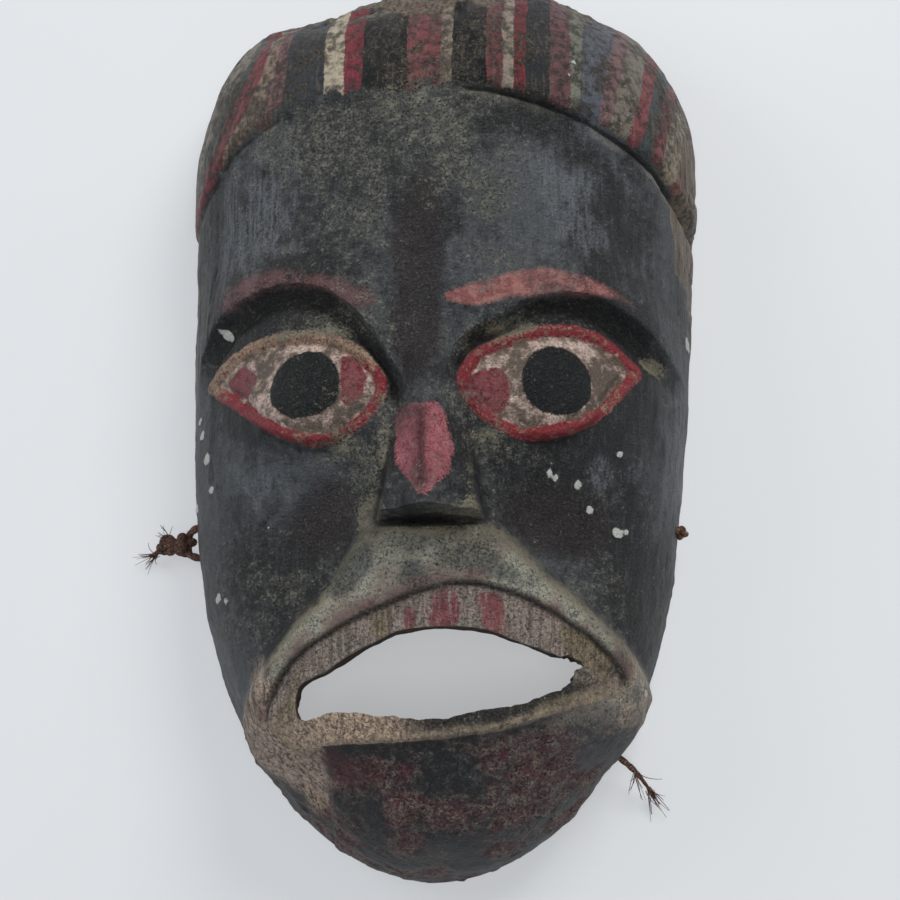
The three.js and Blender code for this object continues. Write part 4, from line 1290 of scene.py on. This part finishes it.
# The headband's stripes, from left to right: where each starts along the band in millimetres, its colour
STRIPE_RANGE = (-84, 86)
STRIPES = [
    (-84, "7f7468"), (-70, "4c524e"), (-66, "7d3c42"), (-58.5, "8f7b6c"), (-52, "7d5a5c"), (-46.5, "383b3f"),
    (-34, "b9ad98"), (-27.5, "7e3540"), (-21, "15171a"), (-7, "7c484a"), (3, "8d8070"), (7.5, "0e1013"),
    (18, "6d3f40"), (22.5, "93877a"), (26, "6e2c31"), (30, "2c2d31"), (37, "6d4a4e"), (43, "75776a"),
    (46.5, "565a64"), (54, "7a5f60"), (57.5, "7c746a"), (63.5, "86494d"), (67.5, "434a4c"), (71.5, "7f464a"),
    (75, "8f8472"), (79, "7a5850"), (82, "6c5f52"),
]


class Paintwork(Graph):
    """The painted wood's nodes, with the grains and masks that its layers share."""

    def __init__(self):
        super().__init__("painted_wood")
        self.fine, self.small = self.noise(FINE_GRAIN, 3, 0.7, warp=0.7), self.noise(SMALL_GRAIN, 3, 0.65)
        self.streak = self.noise(STREAK_WIDTH, 2, stretch=(1, 20, 1))
        self.speck, self.spot = self.step(self.fine, 0.38, 0.62), self.step(self.small, 0.4, 0.6)
        self.fray = self.math("MULTIPLY_ADD", self.fine, 2.2, -1.1)
        self.tone, self.patchy = self.field("tone"), self.field("patchy")

    def inside_of(self, name, soft=0.35, fraying=1.0):
        """1 inside a painted thing and 0 outside it, with a frayed edge."""
        return self.step(self.add(self.field(name), self.times(self.fray, fraying)), -soft, soft)

    def worn(self, cover, amount):
        """Lets what is below show through in specks and in patches."""
        bare = self.step(self.add(self.fine, self.times(self.patchy, 0.45)), 0.66, 0.86)
        return self.times(cover, self.math("SUBTRACT", 1, self.times(bare, amount)))

    def speckled(self, dark, light):
        """Dark and light specks of two colours."""
        return self.mix(self.speck, dark, light)


def stripe_colours(g):
    span = STRIPE_RANGE[1] - STRIPE_RANGE[0]
    across = g.add(g.field("stripe"), g.math("MULTIPLY_ADD", g.fine, 1.8, -0.9))
    place = g.math("MULTIPLY_ADD", across, 1 / span, -STRIPE_RANGE[0] / span)
    ramp = g.node("ShaderNodeValToRGB", Fac=place)
    ramp.color_ramp.interpolation = "CONSTANT"
    elements = ramp.color_ramp.elements
    elements[0].color = colour(STRIPES[0][1])
    elements.remove(elements[1])
    for start, code in STRIPES[1:]:
        elements.new((start - STRIPE_RANGE[0]) / span).color = colour(code)
    return ramp.outputs["Color"]


def black_paint(g):
    """Dull black paint, scuffed grey with painted sheen, and brown-black in places: down the forehead, and as
    painted shade in the cheek hollows.
    """
    worn_black = g.add(g.times(g.tone, 0.6), g.times(g.small, 0.6), g.times(g.fine, 0.3))
    black = g.mix(g.step(worn_black, 0.55, 0.95), "131416", "464a4e")
    black = g.mix(g.times(g.step(g.streak, 0.5, 0.7), 0.3), black, "47494b")
    # Pale bluish-grey scuffing and painted sheen
    black = g.mix(g.times(g.field("scuff_and_sheen"), g.step(g.add(g.fine, g.streak), 0.75, 1.2), 0.6), black, "6a6f76")
    # Brown-black: dark paint on the forehead, painted shade in the cheek hollows
    return g.mix(g.times(g.field("dark"), 0.85), black, g.speckled("100d0e", "261c1d"))


def with_band(g, paint):
    """The headband's stripes, rubbed and partly lost."""
    stripes = g.mix(g.math("MULTIPLY_ADD", g.spot, 0.35, 0.12), stripe_colours(g), "1f1e1e")
    lost = g.step(g.add(g.small, g.times(g.patchy, 0.35), g.times(g.fine, 0.3)), 0.72, 0.95)
    stripes = g.mix(g.times(lost, 0.75), stripes, g.speckled("1b1a1a", "403b35"))
    stripes = g.mix(g.times(g.step(g.patchy, 0.35, 0.8), g.speck, 0.2), stripes, "5d564c")
    stripes = g.mix(g.times(g.step(g.streak, 0.54, 0.68), 0.22), stripes, "7d7568")
    return g.mix(g.inside_of("band_paint", 0.4), paint, stripes)


def with_muzzle(g, paint):
    """Chalky grey round the mouth and rough brown on the chin."""
    grey = g.mix(g.step(g.patchy, 0.3, 0.8), g.speckled("5b5e56", "b0ac9a"), g.speckled("7b6f66", "bdb19d"))
    grey = g.mix(g.times(g.step(g.small, 0.42, 0.3), 0.7), grey, "2c2f2d")
    paint = g.mix(g.worn(g.field("muzzle"), 0.35), paint, grey)
    muzzle_rim = g.times(g.field("muzzle_rim"), g.step(g.add(g.fine, g.small), 0.75, 1.1), 0.8)
    paint = g.mix(muzzle_rim, paint, "857c66")
    muzzle_dark = g.times(g.field("muzzle"), g.field("muzzle_dark"), 0.8)
    paint = g.mix(muzzle_dark, paint, g.speckled("202625", "4b5250"))
    brown = g.mix(g.step(g.patchy, 0.3, 0.8), g.speckled("120b0c", "382429"), g.speckled("30131a", "6d3a43"))
    lumps = g.step(g.add(g.small, g.times(g.fine, 0.6)), 0.74, 0.96)
    brown = g.mix(g.times(lumps, 0.8), brown, g.speckled("4a4038", "86786a"))
    return g.mix(g.times(g.field("chin"), 0.9), paint, brown)


def with_jaw(g, paint):
    """Pale streaked places at the jaw's corners."""
    jaw = g.mix(g.step(g.streak, 0.45, 0.65), g.speckled("84705f", "cfb8a6"), "54473d")
    return g.mix(g.times(g.field("jaw"), 0.85), paint, jaw)


def with_lips(g, paint):
    """The lips, pink-grey above and pale and dark below, with red marks on them and on the chin."""
    pink_grey = g.speckled("4e4540", "948a80")
    lips = g.mix(g.step(g.patchy, 0.2, 0.8), pink_grey, g.speckled("6b5c54", "a3948a"))
    lips = g.mix(g.field("lip_wood"), lips, g.speckled("54493a", "8f8266"))
    lips = g.mix(g.times(g.field("lip_pale"), 0.95), lips, g.speckled("7d6a5a", "d6bda3"))
    lips = g.mix(g.times(g.step(g.streak, 0.45, 0.6), 0.5), lips, "332924")
    lips = g.mix(g.field("lip_dark"), lips, g.mix(g.step(g.fine, 0.45, 0.7), "0c0b0c", "3b3630"))
    paint = g.mix(g.inside_of("lip_paint", 0.3, 0.6), paint, lips)
    crease = g.times(g.field("crease"), g.step(g.add(g.fine, g.patchy), 0.6, 1.05), 0.75)
    paint = g.mix(crease, paint, g.mix(g.spot, "5e5141", "98896f"))
    paint = g.mix(g.times(g.field("line_red"), g.step(g.fine, 0.3, 0.55), 0.75), paint, "5a2e34")
    lip_red = g.times(g.inside_of("lip_red"), g.step(g.streak, 0.28, 0.5), 0.85)
    paint = g.mix(lip_red, paint, g.mix(g.spot, "5e222a", "7f4046"))
    paint = g.mix(g.times(g.field("lip_line"), 0.9), paint, "140c0c")
    chin_red = g.times(g.field("chin_red"), g.step(g.fine, 0.3, 0.5), 0.85)
    return g.mix(chin_red, paint, g.mix(g.spot, "34181c", "4f1d26"))


def with_brows_and_nose(g, paint):
    """The dull and the red brow, the red of the nose with dark red painted shade down its ridge, and painted
    shade under its tip.
    """
    rubbed = g.step(g.add(g.fine, g.times(g.patchy, 0.5)), 0.62, 0.82)
    paint = g.mix(g.times(g.field("dull_brow"), rubbed, 0.7), paint, "6b4244")
    paint = g.mix(g.worn(g.inside_of("red_brow", 1.0, 1.6), 0.75), paint, g.mix(g.spot, "7d4a48", "98665f"))
    nose = g.mix(g.times(g.speck, 0.6), g.mix(g.spot, "7a2630", "a04853"), "b5868c")
    paint = g.mix(g.worn(g.inside_of("nose_red", 0.4, 1.8), 0.5), paint, nose)
    # Dark red painted shade down the left of the nose's ridge
    paint = g.mix(g.times(g.field("nose_line"), 0.95), paint, g.speckled("22060a", "55101a"))
    # Near-black painted shade under the nose's tip
    return g.mix(g.times(g.field("shade_under_nose"), 0.8), paint, "0a0909")


def with_eyes(g, paint):
    """Painted shade under the brows, the red rims and the cream and black eyes."""
    # Near-black painted shade under the brows
    socket = g.mix(g.step(g.fine, 0.5, 0.75), "060607", "2c2b2a")
    paint = g.mix(g.times(g.field("shade_under_brow"), 0.95), paint, socket)
    rim_worn = g.step(g.add(g.small, g.times(g.patchy, 0.3), g.times(g.field("rim_worn"), 0.4)), 0.66, 0.92)
    rim = g.mix(rim_worn, g.speckled("68161f", "8a2c33"), g.speckled("6e4a40", "a08a72"))
    paint = g.mix(g.inside_of("eye_paint", 0.3, 0.8), paint, rim)
    cream = g.mix(g.step(g.add(g.small, g.times(g.patchy, 0.4)), 0.48, 0.82), "c6afa2", "5e5046")
    white = g.mix(g.times(g.step(g.fine, 0.5, 0.62), 0.6), cream, "2c2723")
    paint = g.mix(g.inside_of("white", 0.4, 1.1), paint, white)
    paint = g.mix(g.worn(g.inside_of("eye_red"), 0.4), paint, g.mix(g.spot, "5e1c26", "7d3a41"))
    return g.mix(g.inside_of("pupil", 0.3, 0.8), paint, g.mix(g.times(g.speck, 0.6), "040506", "1a1f21"))


def with_bare_edges(g, paint):
    """Tan wood where edges are rubbed bare."""
    tan = g.step(g.add(g.field("tan"), g.times(g.math("SUBTRACT", g.fine, 0.5), 1.4)), 0.4, 0.6)
    paint = g.mix(g.times(tan, 0.8), paint, g.mix(g.small, "5f5947", "a39a80"))
    return g.mix(g.times(g.field("band_lip"), 0.6), paint, "8a8579")


def with_crust(g, paint):
    """Speckled crust with a haze, pale flecks, pits and near-black in the grooves; also gives the flecks."""
    crust = g.field("crust")
    crackle = g.noise(CRACKLE_SIZE, 2, 0.6, warp=1.4)
    lines = g.step(g.math("ABSOLUTE", g.math("SUBTRACT", crackle, 0.5)), 0.03, 0.008)
    haze = g.times(g.step(g.add(crust, g.times(g.math("SUBTRACT", g.small, 0.5), 1.2)), 0.35, 0.85), 0.5)
    clean = g.math("MAXIMUM", g.field("chin"), g.inside_of("pupil"))
    clean = g.math("MAXIMUM", clean, g.times(g.inside_of("band_paint"), 0.8))
    paint = g.mix(g.times(haze, g.math("SUBTRACT", 1, clean)), paint, g.speckled("232421", "4e4e48"))
    light = g.step(g.add(g.fine, g.times(crust, 0.2), g.times(g.small, 0.2)), 0.72, 0.86)
    flecks = g.math("MAXIMUM", g.times(light, 0.7), g.times(lines, crust, 0.5))
    paint = g.mix(flecks, paint, g.mix(g.step(g.small, 0.3, 0.7), "45453f", "7c796b"))
    pits = g.step(g.math("SUBTRACT", g.fine, g.times(crust, 0.1)), 0.36, 0.27)
    paint = g.mix(g.times(pits, 0.85), paint, "070606")
    # Near-black where the carving lies below its smoothed surface: darker in grooves and hollows
    in_groove = g.step(g.add(g.field("ridge"), g.times(g.small, 0.5)), -0.35, -1.25)
    paint = g.mix(g.times(in_groove, 0.7), paint, "0a0908")
    return paint, flecks


def with_wood_and_drops(g, paint):
    """Weathered wood where the paint is gone, and pale drops on top."""
    old_wood = g.mix(g.step(g.streak, 0.3, 0.7), "3b332c", "7d7062")
    old_wood = g.mix(g.times(g.speck, 0.4), old_wood, "4b4138")
    paint = g.mix(g.step(g.add(g.field("wood"), g.times(g.small, 0.5)), 0.6, 0.85), paint, old_wood)
    return g.mix(g.inside_of("drop", 0.15, 0.3), paint, g.mix(g.small, "c9cac4", "a8a89f"))


def bare_wood(g):
    """The gouged wood inside and the cut edges; also gives where they show."""
    scoop = g.step(g.field("scoop"), 0.3, 0.75)
    inside_grain = g.mix(g.step(g.streak, 0.3, 0.72), "4c3826", "7c6147")
    # Paler on the ridges between the gouges: a painted highlight
    bare = g.mix(g.times(scoop, 0.4), inside_grain, "96795a")
    bare = g.mix(g.times(g.step(g.tone, 0.4, 0.9), 0.55), bare, "32271d")
    uncovered = g.step(g.add(g.field("depth"), g.times(g.small, 3)), 2.4, 3.3)
    cut_edge = g.mix(g.step(g.field("depth"), 3, 9), "241c17", "4e3d2c")
    mouth_wall = g.step(g.math("ABSOLUTE", g.field("mouth")), 3.5, 2.5)
    bare = g.mix(g.times(mouth_wall, 0.8), bare, cut_edge)
    return bare, uncovered


PAINT_LAYERS = [
    with_band, with_muzzle, with_jaw, with_lips, with_brows_and_nose, with_eyes, with_bare_edges,
]


def painted_wood():
    """Old black and red paint under speckled crust, worn down to the wood, over bare gouged wood inside."""
    g = Paintwork()
    paint = black_paint(g)
    for layer in PAINT_LAYERS:
        paint = layer(g, paint)
    paint, flecks = with_crust(g, paint)
    paint = with_wood_and_drops(g, paint)
    bare, uncovered = bare_wood(g)
    base = g.mix(uncovered, paint, bare)
    crust = g.times(g.field("crust"), 0.3)
    gloss = g.add(PAINT_ROUGHNESS, g.times(flecks, 0.45), g.times(g.spot, 0.1), crust)
    gloss = g.math("MAXIMUM", gloss, g.times(uncovered, 0.85))
    height = g.add(g.times(g.fine, 0.8), g.times(g.small, 0.5), g.times(g.streak, 0.25))
    duller = g.math("MAXIMUM", g.inside_of("band_paint"), g.times(g.inside_of("pupil"), 0.5))
    sheen = g.math("MULTIPLY_ADD", duller, DULLER_SHEEN - SHEEN, SHEEN)
    return g.finish(base, gloss, height, PAINT_RELIEF, Specular_IOR_Level=sheen)


def cord_fibre():
    """Dry, sooty plant fibre."""
    g = Graph("cord_fibre")
    strand = g.noise(FIBRE_GRAIN, 3, 0.75, warp=0.5)
    lump = g.noise(FIBRE_LUMPS, 3)
    base = g.mix(g.step(strand, 0.38, 0.6), "120b09", "5f4032")
    base = g.mix(g.times(g.step(lump, 0.48, 0.6), g.step(strand, 0.5, 0.6), 0.8), base, "9a7a62")
    return g.finish(base, FIBRE_ROUGHNESS, strand, FIBRE_RELIEF)


def pale_ground():
    g = Graph("pale_ground")
    tint = g.noise(GROUND_GRAIN, 1)
    base = g.mix(tint, "9c9ea0", "979a9c")
    glow = {"Emission_Color": colour("e3e5e8"), "Emission_Strength": GROUND_GLOW}
    return g.finish(base, GROUND_ROUGHNESS, tint, GROUND_RELIEF, **glow)


# The ground, in millimetres, and the lamps: name, place and size in metres, power in watts, tint
GROUND_HALF, GROUND_DROP = 6000, 0.15
FRONT_LAMP_AWAY = 1.3
LAMPS = [
    ("key", (0.55, 0.8, 1.0), 0.7, 13, (1, 0.985, 0.96)),
    ("left", (-0.9, 0.35, 0.7), 0.7, 4.5, (0.93, 0.96, 1)),
    ("front", tuple(view_direction() * FRONT_LAMP_AWAY), 0.35, 4, (1, 1, 1)),
]
ROOM_LIGHT, ROOM_TINT = 0.3, (0.86, 0.92, 1, 1)


def make_floor():
    corners = [(-1, -1), (1, -1), (1, 1), (-1, 1)]
    points = [(GROUND_HALF * x, GROUND_HALF * y, -GROUND_DROP) for x, y in corners]
    floor = mesh_object("floor", points, [(0, 1, 2, 3)])
    floor.data.materials.append(pale_ground())


def make_light(name, place, size, power, tint):
    light = bpy.data.lights.new(name, "AREA")
    light.shape = "DISK"
    light.size = size
    light.energy = power
    light.color = tint
    lamp = bpy.data.objects.new(name, light)
    back = (Vector(place) - Vector((0, 0, 0.05))).normalized()
    lamp.matrix_world = Matrix.Translation(place) @ back.to_track_quat("Z", "Y").to_matrix().to_4x4()
    bpy.context.scene.collection.objects.link(lamp)


def make_lights():
    for lamp in LAMPS:
        make_light(*lamp)
    world = bpy.data.worlds.new("studio")
    world.use_nodes = True
    background = world.node_tree.nodes["Background"]
    background.inputs["Color"].default_value = ROOM_TINT
    background.inputs["Strength"].default_value = ROOM_LIGHT
    bpy.context.scene.world = world
    bpy.context.scene.view_settings.view_transform = "Standard"


def dress(piece, material, slot, *nodes):
    """Gives a piece its material and body, and hides the solids that it stands for; its slot is not used."""
    piece.data.materials.clear()
    piece.data.materials.append(material)
    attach(piece, "root")
    if nodes:
        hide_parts(*nodes)


left_tie, right_tie, left_knot, right_knot, left_fray, right_fray = make_cords()
fibre = cord_fibre()
dress(left_tie, fibre, "cord_fibre", "left_tie_cord")
dress(right_tie, fibre, "cord_fibre", "right_tie_cord")
dress(left_knot, fibre, "cord_fibre", "left_tie_knot")
dress(right_knot, fibre, "cord_fibre", "right_tie_knot")
dress(left_fray, fibre, "cord_fibre")
dress(right_fray, fibre, "cord_fibre")
left_line, right_line = left_cord_line(), right_cord_line()


mask = make_mask()
dress(mask, painted_wood(), "painted_wood", "carved_mask")
make_floor()
make_lights()
